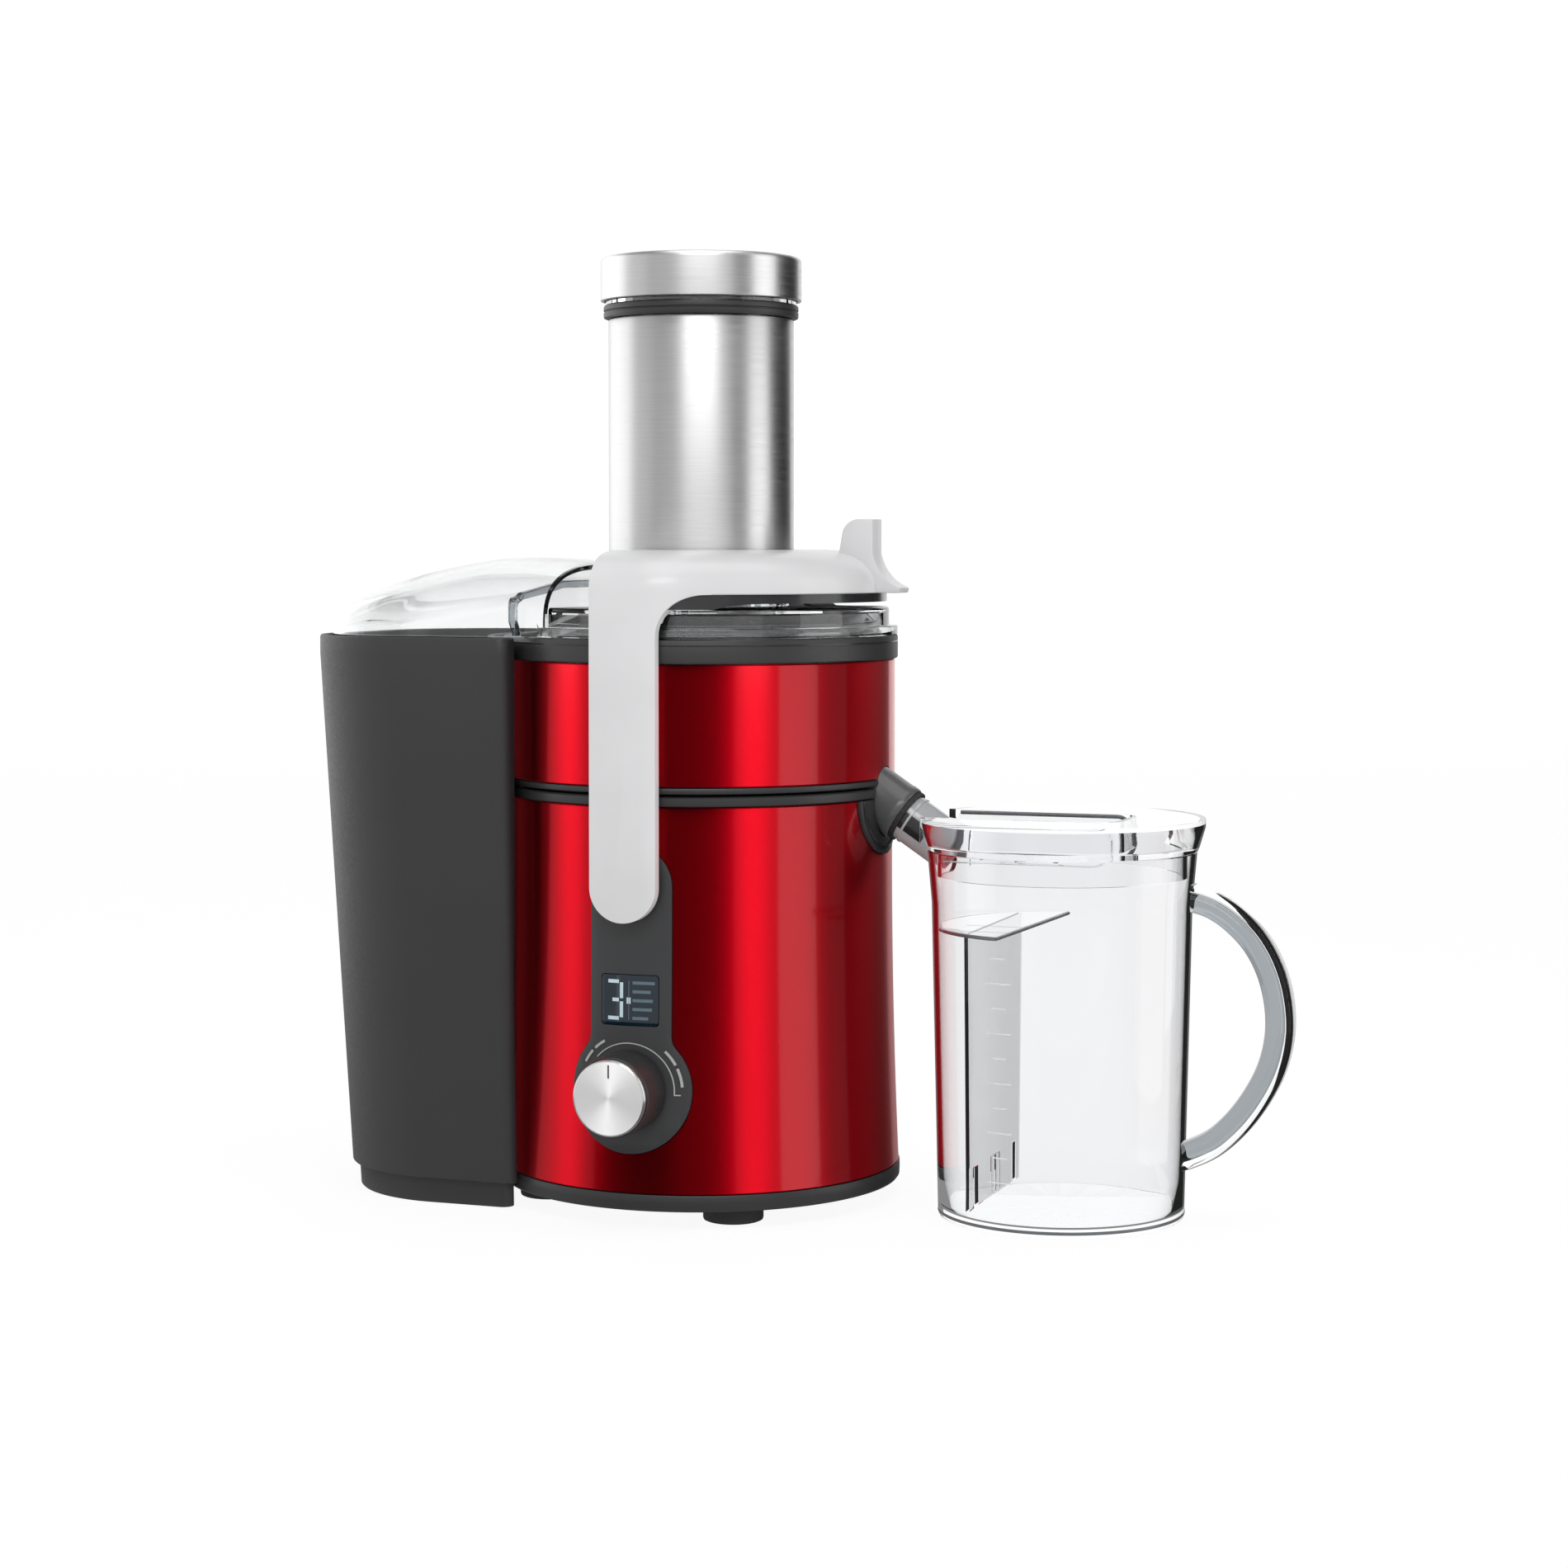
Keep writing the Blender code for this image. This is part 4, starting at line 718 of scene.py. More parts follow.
def make_bowl():
    """Bowl with its spout collar, trims, upper skin and nozzle."""
    profile = [
        (0.0190, 0.1839), (0.0838, 0.1839), (0.0838, 0.2487), (0.0816, 0.2487), (0.0816, 0.1860), (0.0210, 0.1872),
        (0.0210, 0.1965), (0.0190, 0.1965),
    ]
    bowl = combined(turned(profile), spout_cylinder(0.0100, -0.0300, 0.0300))
    piece("bowl_shell", bowl, SMOKY, "juicer", ["filter_bowl"])
    collar = [
        (0.0103, -0.0085), (0.0125, -0.0085), (0.0125, 0.0140), (0.01275, 0.0145), (0.01275, 0.0172),
        (0.0124, 0.0180), (0.01105, 0.0180), (0.01105, 0.0090), (0.0103, 0.0090),
    ]
    piece("spout_collar", tilted(collar), COLLAR, "juicer")

    trim = [
        (0.0841, 0.1839), (0.0864, 0.1839), (0.0869, 0.1843), (0.0870, 0.1849), (0.0870, 0.1859),
        (0.0867, 0.1864), (0.0841, 0.1864),
    ]
    skin = [
        (0.0847, 0.1867), (0.0861, 0.1867), (0.0865, 0.1872), (0.0865, 0.2380), (0.0861, 0.2386), (0.0847, 0.2386),
    ]
    hole = spout_cylinder(0.0129, -0.0200, 0.0400)
    trim = combined(turned(trim), hole.copy())
    piece("bowl_trim", trim, DARK, "juicer", ["bowl_lower_trim"])
    piece("upper_skin", combined(turned(skin), hole), LACQUER, "juicer", ["upper_red_skin"])
    band = [
        (0.0841, 0.2389), (0.0874, 0.2389), (0.0878, 0.2394), (0.0878, 0.2484), (0.0875, 0.2489), (0.0870, 0.2490),
        (0.0841, 0.2490),
    ]
    piece("bowl_band", turned(band), DARK, "juicer", ["bowl_top_band"])
    groove = [(0.0878, 0.2462), (0.0880, 0.2463), (0.0880, 0.2467), (0.0878, 0.2468)]
    piece("band_bead", turned(groove), GLOSSY_DARK, "juicer")

    nozzle = [
        (0.0085, 0.0093), (0.01075, 0.0093), (0.01075, 0.0436), (0.0104, 0.0444), (0.0099, 0.0446),
        (0.0085, 0.0446),
    ]
    piece("nozzle_tube", tilted(nozzle), NOZZLE, "juicer", ["spout_nozzle"])
    slot = [(0.01075, 0.0222), (0.0112, 0.0223), (0.0112, 0.0233), (0.01075, 0.0234)]
    piece("nozzle_bead", tilted(slot), NOZZLE, "juicer")
    # A thin dark stripe along the nozzle's front side, cut down to a narrow sliver: painted shade, standing in for
    # the dark lines seen inside the nozzle.
    shade_streak = combined(
        tilted([(0.0106, 0.0195), (0.0110, 0.0195), (0.0110, 0.0330), (0.0106, 0.0330)]),
        prism(box_outline(0.0900, -0.0130, 0.1150, -0.0103), 0.1300, 0.1900), "INTERSECT",
    )
    piece("nozzle_catch", shade_streak, GLOSSY_DARK, "juicer")


# ---------------------------------------------------------------- cover, chute and pusher


def dome_half_width(x):
    """Half width of the dome over the pulp bin."""
    corner = BIN_CORNER - DOME_INSET
    middle = BIN_LEFT + DOME_INSET + corner
    flat = BIN_HALF_WIDTH - DOME_INSET - corner
    if x >= middle:
        return flat + corner
    return flat + math.sqrt(max(0.0, corner**2 - (x - middle) ** 2))


def dome_rise(x):
    """Height of the dome's ridge above its edge."""
    along = (x - BIN_LEFT - DOME_INSET) / DOME_CREST
    if along < 1:
        return DOME_HEIGHT * math.sqrt(max(0.0, 1 - abs(1 - along) ** 1.35))
    return DOME_HEIGHT - 0.0017 * ((along - 1) * 3) ** 2


def dome(inset, bottom, right, steps=44, sides=48):
    """A closed dome over the bin, smaller all round by inset, with a section squarer towards the chute."""
    left = BIN_LEFT + DOME_INSET + inset + 0.0002
    rings = []
    for step in range(steps + 1):
        x = left + (right - left) * (step / steps) ** 1.8
        half = max(0.002, dome_half_width(x - inset * (step < steps)) - inset)
        rise = max(0.0006, dome_rise(x) - inset)
        power = 0.80 - 0.16 * max(0.0, min(1.0, (x + 0.120) / 0.060))
        ring = [(x, -half, bottom)]
        for part in range(sides + 1):
            angle = math.pi * part / sides
            side = math.copysign(abs(math.cos(angle)) ** power, math.cos(angle))
            ring.append((x, -half * side, COVER_BOTTOM + 0.0022 + rise * math.sin(angle) ** power))
        ring.append((x, half, bottom))
        rings.append(ring)
    return ring_mesh(rings)


def frame_outline(inset):
    """The hexagonal end frame of the dome, as (y, z) points."""
    half = 0.0790 - inset
    return rounded([
        (-0.0745 + inset, 0.2496, 0), (-half, 0.2560, 0.0020), (-half, 0.2660 - inset * 0.6, 0.0030),
        (-0.0300 + inset * 0.2, 0.2732 - inset, 0.0080), (0.0300 - inset * 0.2, 0.2732 - inset, 0.0080),
        (half, 0.2660 - inset * 0.6, 0.0030), (half, 0.2560, 0.0020), (0.0745 - inset, 0.2496, 0),
    ])


def make_cover():
    """The clear cover with its dome, end frame and chute tube."""
    hole = 0.0388
    profile = [
        (hole, COVER_BOTTOM), (0.0874, COVER_BOTTOM), (0.0878, 0.2497), (0.0878, 0.2529), (0.0876, 0.2533),
        (0.0871, 0.2535), (0.0846, 0.2535), (0.0841, 0.2537), (0.0840, 0.2541), (0.0840, 0.2604),
        (0.0837, 0.2612), (0.0831, 0.2618), (0.0823, COVER_TOP), (hole, COVER_TOP),
    ]
    cover = combined(turned(profile), dome(0.0, COVER_BOTTOM, DOME_RIGHT), "UNION")
    ceiling = COVER_TOP - COVER_WALL
    hollow = [(0, 0.2400), (0.0813, 0.2400), (0.0813, 0.2588), (0.0806, ceiling), (0, ceiling)]
    cover = combined(cover, turned(hollow, ROUND, (0, 0), CUTTER_PHASE))
    cover = combined(cover, dome(COVER_WALL, 0.2400, DOME_RIGHT - COVER_WALL))
    tube = [(0.0380, 0.2200), (0.0397, 0.2200), (0.0397, 0.3890), (0.0380, 0.3890)]
    cover = combined(cover, turned(tube), "UNION")
    piece("clear_cover", cover, CLEAR, "juicer", ["juicer_cover"])

    outer = frame_outline(0.0)
    inner = frame_outline(0.0034)
    rings = [
        [(-0.0590, y, z) for y, z in outer], [(-0.0556, y, z) for y, z in outer],
        [(-0.0556, y, z) for y, z in inner], [(-0.0590, y, z) for y, z in inner],
    ]
    piece("dome_frame", bevelled(ring_mesh(rings, True), 0.0006, 2), CORE, "juicer")
    guard = [
        (0.0722, 0.2500), (0.0738, 0.2500), (0.0741, 0.2504), (0.0741, 0.2586), (0.0737, 0.2591),
        (0.0400, 0.2591), (0.0400, 0.2584), (0.0722, 0.2584),
    ]
    guard = combined(turned(guard), prism(box_outline(-0.0900, -0.0900, -0.0300, 0.0900), 0.2400, 0.2700))
    piece("splash_guard", guard, GLOSSY_DARK, "juicer")
    rib = [(0.0790, 0.2500), (0.0800, 0.2500), (0.0800, 0.2548), (0.0790, 0.2548)]
    rib = combined(turned(rib), prism(box_outline(-0.0900, -0.0900, -0.0400, 0.0900), 0.2400, 0.2700))
    piece("cover_rib", rib, HANDLE, "juicer")

    sleeve = [
        (0.0400, 0.2832), (0.0411, 0.2832), (0.0413, 0.2835), (0.0413, 0.3882), (0.0410, 0.3887), (0.0400, 0.3887),
    ]
    piece("steel_sleeve", turned(sleeve), SLEEVE, "juicer", ["chute_sleeve"])
    ring = [
        (0.0380, 0.3893), (0.0426, 0.3893), (0.0432, 0.3896), (0.0434, 0.3902), (0.0434, 0.3918), (0.0429, 0.3921),
        (0.0429, 0.3924), (0.0434, 0.3927), (0.0434, 0.3943), (0.0431, 0.3949), (0.0425, 0.3950), (0.0380, 0.3950),
    ]
    piece("top_ring", turned(ring), DARK, "juicer", ["chute_top_ring"])
    cap = [
        (0, 0.4140), (0.0432, 0.4140), (0.0432, 0.3970), (0.0445, 0.3970), (0.0448, 0.3973), (0.0448, 0.4138),
        (0.0447, 0.4147), (0.0444, 0.4154), (0.0438, 0.4160), (0.0430, 0.4163), (0.0410, 0.4166), (0, 0.4166),
    ]
    piece("cap_shell", turned(cap), CAP, "pusher", ["pusher_cap"])


# ---------------------------------------------------------------- safety arm


def crown_outline(inset):
    """Plan of the arm's top: a half ring that widens to meet both legs, moved inward by inset."""
    reach = ARM_RING_OUTSIDE - inset
    side = CROWN_HALF_DEPTH - inset
    shoulder = ARM_HALF_WIDTH + 0.0023
    tangent = math.atan2(side, shoulder) - math.acos(reach / math.hypot(side, shoulder))
    touch = (reach * math.cos(tangent), reach * math.sin(tangent))
    left = -ARM_HALF_WIDTH + 2 * min(inset, 0.0)
    half = rounded([(left, 0, 0), (left, side, 0), (shoulder, side, 0.0300), (*touch, 0)], 16)[1:-1]
    turn = math.degrees(tangent)
    front = [(x, -y) for x, y in reversed(half)]
    return half + arc((0, 0), reach, turn, -turn, 60) + front


def sweep_profile(radius, start, end, steps=32):
    """Profile points on the sphere about the arm's pivot, between two distances from the axis."""
    points = []
    for step in range(steps + 1):
        out = start + (end - start) * step / steps
        points.append((out, ARM_PIVOT_Z + math.sqrt(radius**2 - out**2)))
    return points


def tab_outline():
    """The grip tab and its lip, as (x, z) points."""
    outline = [(0.0640, 0.2780), (0.0840, ARM_SKIRT), (0.0945, ARM_SKIRT), (0.0950, 0.2700)]
    outline += arc((0.1020, 0.2890), 0.0200, 249, 200, 14)
    outline += [(0.0823, 0.2850), (0.0823, 0.3003), (0.0760, 0.3003)]
    outline += arc((0.0760, 0.2925), 0.0078, 95, 175, 14)
    outline += [(0.0670, 0.2860)]
    return outline


def make_arm():
    """The safety arm, and a dark sheet under its crown that paints the shade seen in the gap under it."""
    arm = side_prism(box_outline(-ARM_OUTSIDE, 0.1200, ARM_OUTSIDE, ARM_SKIRT + 0.0006), -0.0400, 0.0400)
    leg = arc((0, ARM_PIVOT_Z), ARM_HALF_WIDTH, 180, 360, 40)
    leg += arc((ARM_HALF_WIDTH + ARM_FILLET, ARM_SKIRT - ARM_FILLET), ARM_FILLET, 180, 90, 20)
    leg += [(0.0350, ARM_SKIRT), (0.0350, 0.3000), (-ARM_HALF_WIDTH, 0.3000)]
    arm = combined(arm, front_prism(leg, -0.1100, 0.1100), "INTERSECT")
    arm = combined(arm, prism(crown_outline(0.0), 0.1000, 0.3100), "INTERSECT")
    arm = bevelled(arm, 0.0010, 3, 50)
    levels = [
        (0.0006, ARM_SKIRT), (0.0, 0.2684), (0.0, 0.2705), (0.0005, 0.2735), (0.0020, 0.2768), (0.0038, 0.2790),
        (0.0060, 0.2812), (0.0086, 0.2830), (0.0115, 0.2843), (0.0150, 0.2854), (0.0195, 0.2861),
        (0.0240, 0.2866), (0.0280, ARM_TOP),
    ]
    crown = ring_mesh([[(x, y, z) for x, y in crown_outline(inset)] for inset, z in levels])
    arm = combined(arm, crown, "UNION")
    arm = combined(arm, front_prism(box_outline(-0.1000, 0.1000, 0.1000, 0.2560), -ARM_INSIDE, ARM_INSIDE))
    clearance = ARM_INSIDE - 0.0002
    arm = combined(arm, turned([(0, 0.2000), (clearance, 0.2000)] + sweep_profile(ARM_SWEEP, clearance, 0.0)))
    slot = arc((0, 0), ARM_RING_INSIDE, -90, 90, 80) + [(-0.0500, ARM_RING_INSIDE), (-0.0500, -ARM_RING_INSIDE)]
    arm = combined(arm, prism(slot, 0.2600, 0.3000))
    tab = bevelled(front_prism(tab_outline(), -0.0070, 0.0070), 0.0009, 3, 50)
    arm = combined(arm, tab, "UNION")
    for turn in (0.0, math.pi):
        hole = [(0, 0.085), (PIN_HOLE, 0.085), (PIN_HOLE, 0.0925), (0, 0.0925)]
        arm = combined(arm, spun_round(lying(hole, (0, 0, ARM_PIVOT_Z), SMALL), turn))
    piece("arm_shell", arm, ARM, "arm", ["safety_arm"], (0, 0, ARM_PIVOT_Z), 28)

    # A dark sheet that follows the crown's underside: painted shade, standing in for the shadowed underside of the
    # arm seen through the gap above the cover.
    shade_sheet = prism(crown_outline(0.0016), 0.2618, ARM_SKIRT - 0.0001)
    sweep = [(0, 0.2000), (0.1000, 0.2000)] + sweep_profile(ARM_SWEEP + 0.0004, 0.1000, 0.0)
    shade_sheet = combined(shade_sheet, turned(sweep, ROUND, (0, 0), CUTTER_PHASE))
    bore = turned([(0, 0.25), (0.0700, 0.25), (0.0700, 0.28), (0, 0.28)], ROUND, (0, 0), CUTTER_PHASE)
    shade_sheet = combined(shade_sheet, bore)
    piece("arm_liner", shade_sheet, GLOSSY_DARK, "arm")


# ---------------------------------------------------------------- pulp bin


def bin_ring(z, inset, narrow):
    """The bin's outline at height z, moved inward by inset, and narrowed by the draft where narrow is 1."""
    left = BIN_LEFT + 0.0124 * narrow + inset
    half = BIN_HALF_WIDTH - 0.0070 * narrow - inset
    right = -0.0600 - inset
    hollow = 0.0925 + inset
    corner = BIN_CORNER - inset
    edge = 0.0045
    outer = [(right, half, edge), (left, half, corner), (left, -half, corner), (right, -half, edge)]
    outer = rounded(outer, 22)
    reach = math.degrees(min(math.acos(-right / hollow), math.asin((half - 0.0055) / hollow)))
    sweep = arc((0, 0), hollow, 180 + reach, 180 - reach, 48)
    return [(x, y, z) for x, y in outer + sweep]


def make_bin():
    """The pulp bin with its narrower foot and rolled rim."""
    levels = [(0.0, 0.0036, 1.0), (0.0006, 0.0030, 1.0), (0.0104, 0.0030, 0.958), (0.0110, 0.0026, 0.956)]
    levels += [(0.0112, 0.0004, 0.955), (0.0116, 0.0, 0.953)]
    levels += [(0.0116 + 0.2292 * step / 12, 0.0, 0.953 * (1 - step / 12)) for step in range(1, 13)]
    levels += [(0.2480, 0.0, 0.0), (0.2486, 0.0003, 0.0), (0.2489, 0.0008, 0.0)]
    levels += [(0.2489, 0.0018, 0.0), (0.2484, 0.0024, 0.0), (0.0140, 0.0024, 0.945), (0.0136, 0.0032, 0.945)]
    rings = [bin_ring(z, inset, narrow) for z, inset, narrow in levels]
    piece("bin_shell", ring_mesh(rings), BIN, "bin", ["pulp_bin"], (-0.1150, 0, 0), 40)


# ---------------------------------------------------------------- juice jug


def jug_radius(z):
    """Outer radius of the jug's wall."""
    if z < 0.1350:
        return 0.0530 + 0.0030 * z / 0.1350
    return 0.0560 + 0.0020 * (z - 0.1350) / 0.0230


def channel_outline(grow):
    """The open channel in the lid, which lets the nozzle in from the spout side."""
    half = 0.0225 + grow
    end = JUG_X + 0.0280 + grow
    start = JUG_X - 0.0800
    corner = 0.0120 + grow
    return rounded([(start, -half, 0), (end, -half, corner), (end, half, corner), (start, half, 0)], 16)


def swept(route, wide, deep, shift=0.0, sides=32):
    """A rounded bar beside a route of (x, z) points, given from the jug's middle, moved outward by shift."""
    rings = []
    for index, (x, z) in enumerate(route):
        before = route[max(0, index - 1)]
        after = route[min(len(route) - 1, index + 1)]
        along = Vector((after[0] - before[0], after[1] - before[1]))
        if index in (0, len(route) - 1):
            along = Vector((1.0 if index == 0 else -1.0, 0.0))
        along.normalize()
        ring = []
        for side in range(sides):
            angle = 2 * math.pi * (side + 0.5) / sides
            out = shift + math.copysign(abs(math.cos(angle)) ** 0.6, math.cos(angle)) * wide
            across = math.copysign(abs(math.sin(angle)) ** 0.6, math.sin(angle)) * deep
            ring.append((JUG_X + x - along.y * out, across, z + along.x * out))
        rings.append(ring)
    return ring_mesh(rings)


def curve_through(points, steps=6):
    """A smooth Catmull-Rom line through the points."""
    line = []
    last = len(points) - 1
    for index in range(last):
        a, b, c, d = (Vector(points[min(max(index + shift, 0), last)]) for shift in (-1, 0, 1, 2))
        for step in range(steps):
            t = step / steps
            square = (2 * a - 5 * b + 4 * c - d) * t**2
            cube = (3 * b - a - 3 * c + d) * t**3
            line.append(tuple(0.5 * (2 * b + (c - a) * t + square + cube)))
    line.append(tuple(points[-1]))
    return line


def rod(path, radius):
    """A thin rod along a path of points."""
    rings = []
    points = [Vector(point) for point in path]
    for index, here in enumerate(points):
        along = (points[min(index + 1, len(points) - 1)] - points[max(index - 1, 0)]).normalized()
        first = along.cross(Vector((0.13, 0.31, 0.94))).normalized()
        second = along.cross(first)
        turns = [2 * math.pi * side / 10 for side in range(10)]
        rings.append([here + (first * math.cos(turn) + second * math.sin(turn)) * radius for turn in turns])
    return ring_mesh(rings)


def jug_mark(angle, z, length, width):
    """A raised line on the jug's wall, along an arc at height z."""
    rings = []
    steps = 6
    for step in range(steps + 1):
        turn = math.radians(angle + length * (step / steps - 0.5))
        ring = []
        for lift, rise in ((0, -1), (0.0002, -1), (0.0002, 1), (0, 1)):
            radius = jug_radius(z) + lift
            ring.append((JUG_X + radius * math.cos(turn), radius * math.sin(turn), z + rise * width / 2))
        rings.append(ring)
    return ring_mesh(rings)


def make_jug():
    """Jug, handle, froth separator, lid and measuring marks."""
    axis = (JUG_X, 0)
    levels = [0.0010] + [0.0050 + 0.0130 * step for step in range(11)] + [0.1430, 0.1500, 0.1576]
    outside = [(0, 0), (0.0512, 0), (0.0526, 0.0003)] + [(jug_radius(z), z) for z in levels]
    outside += [(jug_radius(JUG_TOP) - 0.0004, JUG_TOP)]
    inside = [(jug_radius(JUG_TOP) - 0.0020, JUG_TOP)]
    inside += [(jug_radius(z) - 0.0024, z) for z in reversed(levels[2:])]
    floor = [(0.0500, 0.0062), (0.0494, 0.0044), (0.0480, 0.0034), (0.0460, 0.0032), (0, 0.0032)]
    jug = turned(outside + inside + floor, ROUND, axis)
    notch = [(-0.0150, 0.1455, 0.0060), (0.0150, 0.1455, 0.0060), (0.0150, 0.1700, 0), (-0.0150, 0.1700, 0)]
    jug = combined(jug, side_prism(rounded(notch), JUG_X - 0.0700, JUG_X - 0.0300))
    place = (JUG_X, 0, 0)
    piece("jug_shell", jug, JUG, "jug", ["jug_body"], place)
    seam = [(JUG_X + x, y, 0.0023) for x, y in arc((0, 0), 0.0527, -160, 18, 90)]
    piece("jug_floor_seam", rod(seam, 0.0007), EDGE, "jug", (), place)

    route = [
        (0.0574, 0.1390), (0.0660, 0.1365), (0.0750, 0.1310), (0.0840, 0.1220), (0.0905, 0.1105), (0.0942, 0.0970),
        (0.0948, 0.0830), (0.0918, 0.0690), (0.0855, 0.0560), (0.0768, 0.0440), (0.0665, 0.0345), (0.0544, 0.0285),
    ]
    line = curve_through(route)
    core = swept(line, 0.0042, 0.0066, -0.0017)
    piece("handle_bar", core, CORE, "jug", ["jug_handle"], place, 50)
    piece("handle_rim", swept(line, 0.0017, 0.0070, 0.0043), JUG, "jug", (), place, 50)

    plate = []
    for start in (-0.0385, -0.0120):
        plate += [(start, 0.0060), (start + 0.0055, 0.0060), (start + 0.0055, 0.0240)]
        plate += [(start + 0.0115, 0.0240), (start + 0.0115, 0.0060)]
    plate += [(-0.0060, 0.0060), (-0.0060, 0.0240)]
    plate += [(-y, z) for y, z in reversed(plate)] + [(0.0425, 0.1245), (-0.0425, 0.1245)]
    separator = side_prism(plate, JUG_X - 0.0308, JUG_X - 0.0292)
    chord = arc((JUG_X, 0), 0.0525, 101, 253, 60)
    separator = combined(separator, prism(chord, 0.1235, 0.1251), "UNION")
    piece("froth_plate", separator, JUG, "jug", ["froth_separator"], place)
    front = arc((JUG_X, 0), 0.0524, 196, 253, 24)
    rear = arc((JUG_X, 0), 0.0524, 101, 101, 1)[:1]
    edge = [(x, y, 0.1243) for x, y in front + rear]
    piece("froth_plate_edge", rod(edge, 0.0008), EDGE, "jug", (), place)

    profile = [
        (0, 0.1700), (0.0590, 0.1700), (0.0562, 0.1606), (0.0520, 0.1606), (0.0520, 0.1470), (0.0538, 0.1470),
        (0.0538, 0.1583), (0.0583, 0.1583), (0.0590, 0.1600), (0.0605, 0.1650), (0.0623, 0.1712),
        (0.0621, 0.1718), (0.0617, 0.1720), (0, 0.1720),
    ]
    lid = turned(profile, ROUND, axis)
    lid = combined(lid, prism(channel_outline(0.0), 0.1400, 0.1800))
    lid = combined(lid, prism(channel_outline(0.0020), 0.1590, 0.1718), "UNION")
    lid = combined(lid, prism(channel_outline(0.0002), 0.1400, 0.1800))
    keep = turned([(0, 0.14), (0.0615, 0.14), (0.0615, 0.18), (0, 0.18)], ROUND, axis, CUTTER_PHASE)
    lid = combined(lid, keep, "INTERSECT")
    piece("lid_shell", lid, JUG, "lid", ["jug_lid"], place)
    line = [(-0.0520, 0.1706)] + arc((0.0190, 0.1620), 0.0086, 90, -90, 20) + [(-0.0500, 0.1534)]
    edges = (("channel_edge_rear", 0.0236, 0.0009, EDGE), ("channel_edge_front", -0.0236, 0.0004, HANDLE))
    for name, side, radius, finish in edges:
        bent = [(JUG_X + x, side, z) for x, z in line]
        piece(name, rod(bent, radius), finish, "lid", (), place)

    marks = []
    for step in range(10):
        z = 0.0220 + 0.0105 * step
        marks.append(jug_mark(-104, z, 7 if step % 2 else 12, 0.0005))
    piece("jug_scale", joined(*marks), FAINT, "jug", origin=place)


# ---------------------------------------------------------------- nodes kept from the frame

KEPT = {
    "arm_pin_front": STEEL, "arm_pin_rear": STEEL, "safety_switch": DARK, "display_module": GLASS,
    "control_board": BOARD, "selector_switch": STEEL, "motor_housing": DARK, "motor_lower_bracket": CAP,
    "motor_upper_bracket": CAP, "lower_bearing": STEEL, "upper_bearing": STEEL, "shaft_seal": RUBBER,
    "motor_stator": IRON, "field_coil_right": COPPER, "field_coil_left": COPPER, "brush_holder_front": BRASS,
    "brush_holder_rear": BRASS, "spout_seal": RUBBER, "motor_shaft": STEEL, "armature": IRON,
    "commutator": COPPER, "cooling_fan": DARK, "drive_coupling": DARK, "basket_hub": DARK, "cutting_disc": STEEL,
    "strainer_wall": MESH, "basket_rim": DARK, "pusher_body": CLEAR,
    "base_screw_1": STEEL, "base_screw_2": STEEL, "base_screw_3": STEEL, "base_screw_4": STEEL,
}


def finish_kept_nodes():
    """Gives each carried-over node its material."""
    for name, finish in KEPT.items():
        node = frame["nodes"][name]
        node.data.materials.clear()
        node.data.materials.append(finish)


# ---------------------------------------------------------------- studio

VIEW_TURN = math.radians(19.3)
CAMERA_HEIGHT = 0.290
CAMERA_DISTANCE = 1.418
CAMERA_SIDE = 0.0369
CAMERA_PITCH = math.radians(2.2)
CAMERA_SHIFT = -0.0763
STUDIO_WHITE = (0.15, 0.15, 0.15)


def make_camera():
    """The camera, turned towards the spout side, looking slightly down and shifted to frame the juicer."""
    data = bpy.data.cameras.new("camera")
    data.lens = 72.83
    data.sensor_width = 36.0
    data.shift_y = CAMERA_SHIFT
    camera = bpy.data.objects.new("camera", data)
    bpy.context.scene.collection.objects.link(camera)
    right = Vector((math.cos(VIEW_TURN), math.sin(VIEW_TURN), 0))
    back = Vector((math.sin(VIEW_TURN), -math.cos(VIEW_TURN), 0))
    camera.location = AXIS + right * CAMERA_SIDE + back * CAMERA_DISTANCE + Vector((0, 0, CAMERA_HEIGHT))
    camera.rotation_euler = (math.pi / 2 - CAMERA_PITCH, 0, VIEW_TURN)
    bpy.context.scene.camera = camera


def plain(name, colour, glow):
    """A plain studio surface that glows in its own colour."""
    made, _, shader, _ = new_material(name)
    shader.inputs["Base Color"].default_value = (*colour, 1)
    shader.inputs["Roughness"].default_value = 0.9
    shader.inputs["Specular IOR Level"].default_value = 0.0
    shader.inputs["Emission Color"].default_value = (*colour, 1)
    shader.inputs["Emission Strength"].default_value = glow
    return made


def studio_object(name, made, finish):
    """A stage object, which isn't part of the juicer."""
    mesh = bpy.data.meshes.new(name)
    made.to_mesh(mesh)
    made.free()
    mesh.materials.append(finish)
    shown = bpy.data.objects.new(name, mesh)
    bpy.context.scene.collection.objects.link(shown)
    return shown


def flag(name, start, end, bottom, top, finish, radius=2.0):
    """A tall curved panel, unseen by the camera, between two bearings from the camera's direction."""
    made = bmesh.new()
    steps = max(2, int(abs(end - start) / 6))
    columns = []
    for step in range(steps + 1):
        bearing = math.radians(start + (end - start) * step / steps - 90) + VIEW_TURN
        x = AXIS.x + radius * math.cos(bearing)
        y = AXIS.y + radius * math.sin(bearing)
        columns.append([made.verts.new((x, y, bottom)), made.verts.new((x, y, top))])
    for here, there in zip(columns, columns[1:]):
        made.faces.new((here[0], there[0], there[1], here[1]))
    shown = studio_object(name, made, finish)
    shown.visible_camera = False
    return shown


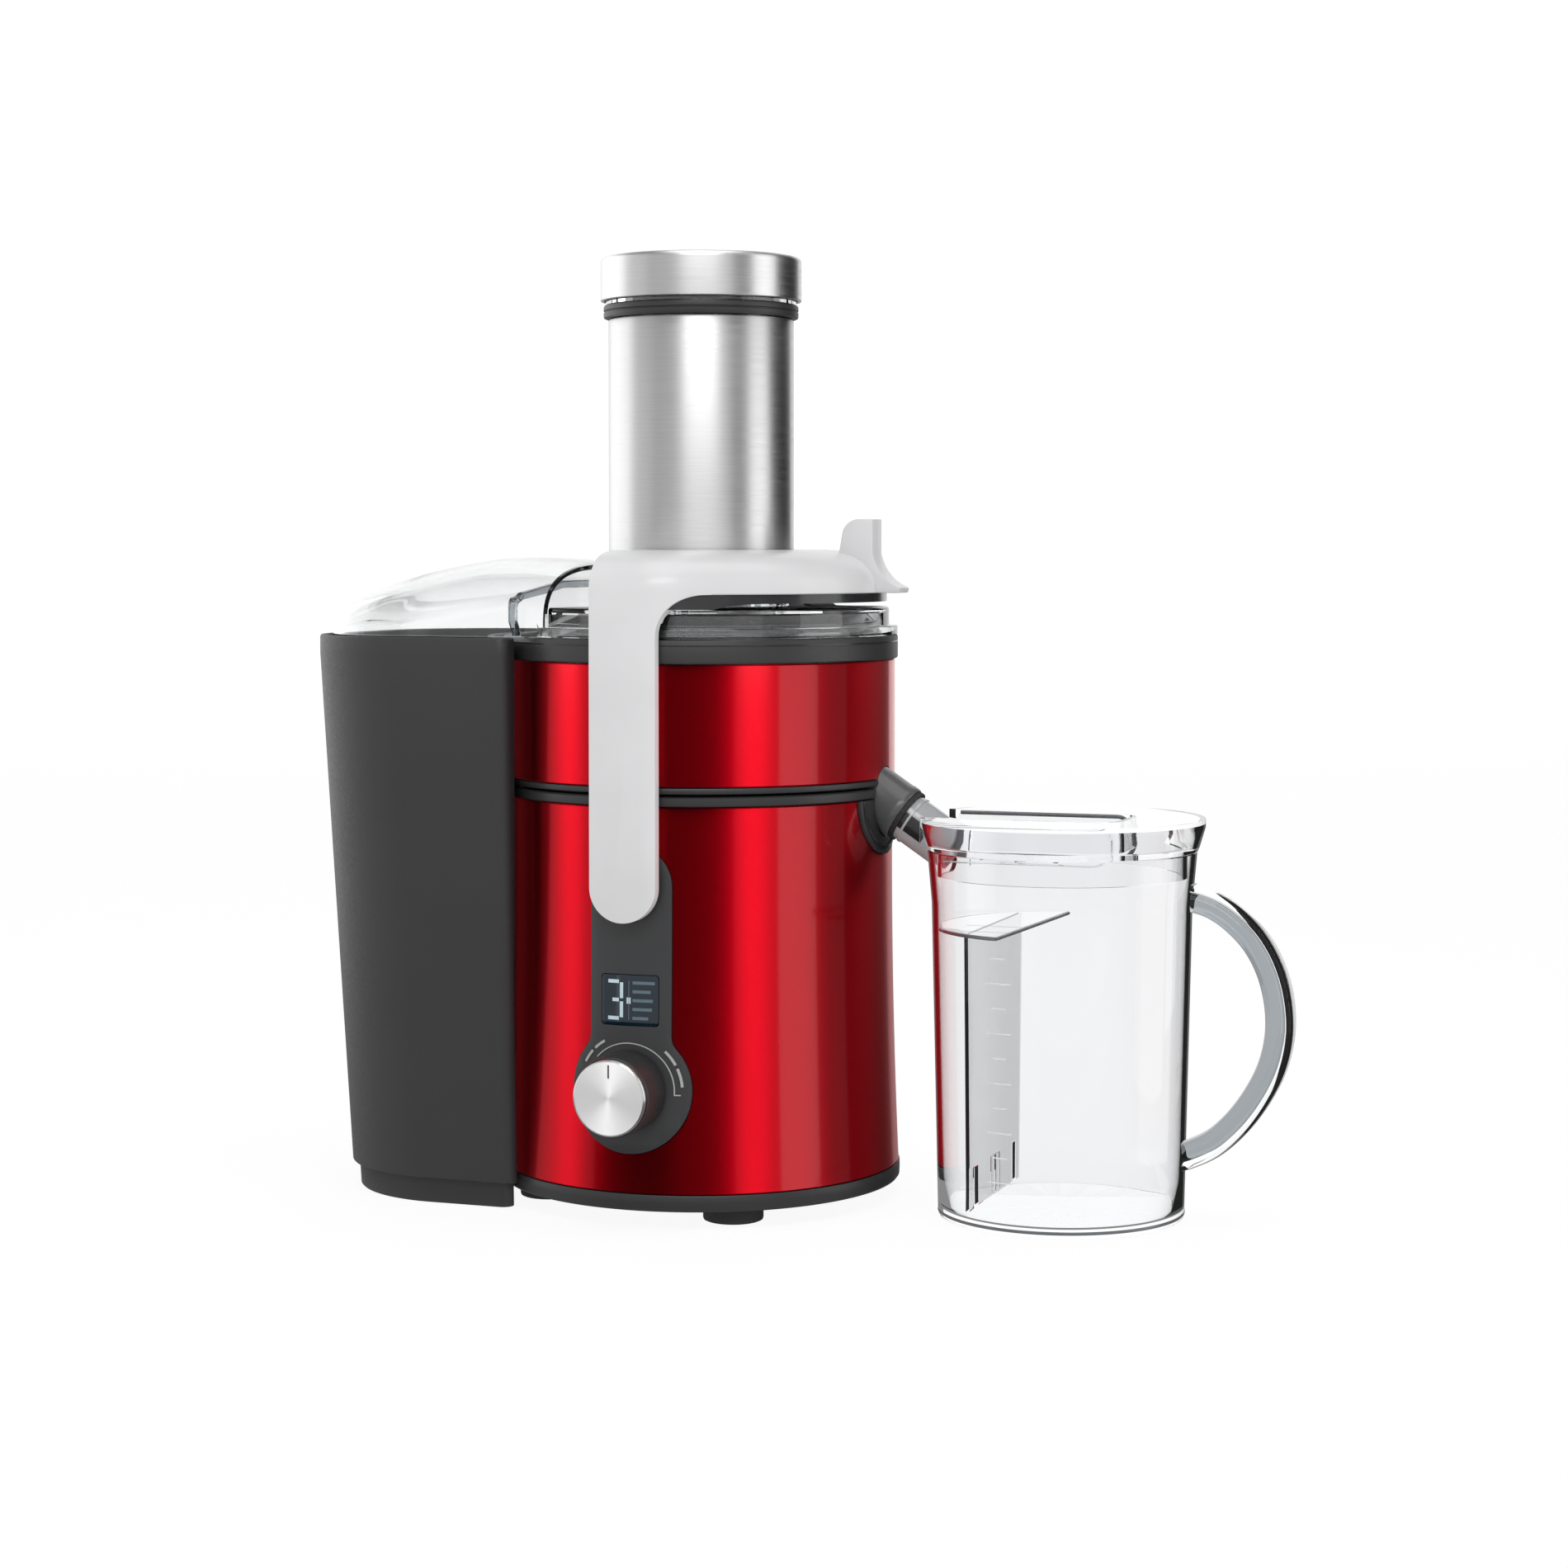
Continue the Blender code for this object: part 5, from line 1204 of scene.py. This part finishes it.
def softbox(name, bearing, heights, width, glow, receivers=None, distance=1.9):
    """An area light at a bearing from the camera's, between two heights, aimed at the juicer."""
    tall = heights[1] - heights[0]
    data = bpy.data.lights.new(name, "AREA")
    data.shape = "RECTANGLE"
    data.size = width
    data.size_y = tall
    data.energy = glow * math.pi * width * tall
    light = bpy.data.objects.new(name, data)
    bpy.context.scene.collection.objects.link(light)
    turn = math.radians(bearing - 90) + VIEW_TURN
    middle = sum(heights) / 2
    light.location = AXIS + Vector((distance * math.cos(turn), distance * math.sin(turn), middle))
    aim = AXIS + Vector((0, 0, middle)) - light.location
    light.rotation_euler = aim.to_track_quat("-Z", "Y").to_euler()
    light.visible_camera = False
    light.light_linking.receiver_collection = receivers
    return light


def light_groups():
    """The lacquered skins, everything else and the knob's face, for lights kept to one of them."""
    red = bpy.data.collections.new("lacquered")
    rest = bpy.data.collections.new("not_lacquered")
    knob = bpy.data.collections.new("knob_disc")
    knob.objects.link(bpy.data.objects["knob_disc"])
    for shown in list(bpy.context.scene.objects):
        if shown.type == "MESH":
            (red if shown.name in ("lower_skin", "upper_skin") else rest).objects.link(shown)
    return red, rest, knob


def make_room():
    """White floor, backdrop and surround, and the black flags that the shiny surfaces reflect."""
    floor = bmesh.new()
    bmesh.ops.create_circle(floor, cap_ends=True, segments=96, radius=6.0)
    ground = studio_object("floor", floor, plain("floor_white", STUDIO_WHITE, 6.2))
    ground.visible_glossy = False
    ground.visible_shadow = False
    backdrop = flag("backdrop", 148, 212, -0.3, 5.5, plain("backdrop_white", STUDIO_WHITE, 6.6), 5.6)
    backdrop.visible_camera = True
    black = plain("flag_black", (0.01, 0.01, 0.01), 1.0)
    flag("front_flag", -62, 20, -3.0, 2.6, black, 3.2).visible_transmission = False
    flag("right_flag", 94, 147, -2.0, 1.6, black).visible_transmission = False
    surround = flag("surround", -180, 180, -1.0, 6.5, plain("surround_white", STUDIO_WHITE, 4.7), 5.8)
    surround.visible_camera = True
    surround.visible_diffuse = False
    surround.visible_glossy = False
    surround.visible_shadow = False


def make_lights(red, rest, knob):
    """Softboxes, most of which light only the lacquer, only the knob or only the rest."""
    softbox("red_key", 31.5, (0.2, 1.5), 0.62, 4.0, red)
    softbox("red_left", -81.5, (0.2, 1.5), 0.50, 4.0, red)
    softbox("red_far_left", -112, (0.3, 1.4), 1.1, 1.3, red).light_linking.blocker_collection = red
    softbox("red_sheen", 59, (-0.55, 0.22), 0.85, 1.3, red)
    softbox("red_streak", -119, (0.0, 1.2), 0.14, 5.0, red).light_linking.blocker_collection = red
    softbox("red_right", 118, (0.3, 1.5), 1.2, 0.7, red, 1.7)
    softbox("left_panel", -122, (-0.2, 1.6), 1.85, 1.3, rest)
    softbox("front_panel", -5, (-0.3, 1.7), 3.6, 0.58, rest)
    softbox("left_front", -72, (-0.3, 1.7), 1.8, 0.5, rest)
    softbox("front_high", 0, (1.3, 2.3), 1.6, 4.2, rest)
    softbox("right_strip", 79, (-0.3, 1.6), 1.1, 1.4, rest)
    softbox("knob_fan", -38, (-0.6, 0.9), 0.30, 1.6, knob)
    top = softbox("top_box", 10, (1.2, 2.5), 1.3, 1.7, None, 0.3)
    top.location.z = 1.7
    top.rotation_euler = (0, 0, 0)


def make_world():
    """Even grey light from all round, and colours shown as they are."""
    world = bpy.data.worlds.new("studio")
    world.use_nodes = True
    world.node_tree.nodes["Background"].inputs["Color"].default_value = (1, 1, 1, 1)
    world.node_tree.nodes["Background"].inputs["Strength"].default_value = 0.25
    bpy.context.scene.world = world
    bpy.context.scene.view_settings.view_transform = "Standard"


make_base()
make_panel()
make_bowl()
make_cover()
make_arm()
make_bin()
make_jug()
finish_kept_nodes()
# The lacquer beside the jug doesn't mirror these clear pieces.
for name in ("jug_shell", "handle_bar", "handle_rim", "froth_plate", "lid_shell"):
    bpy.data.objects[name].visible_glossy = False
make_camera()
groups = light_groups()
make_room()
make_lights(*groups)
make_world()
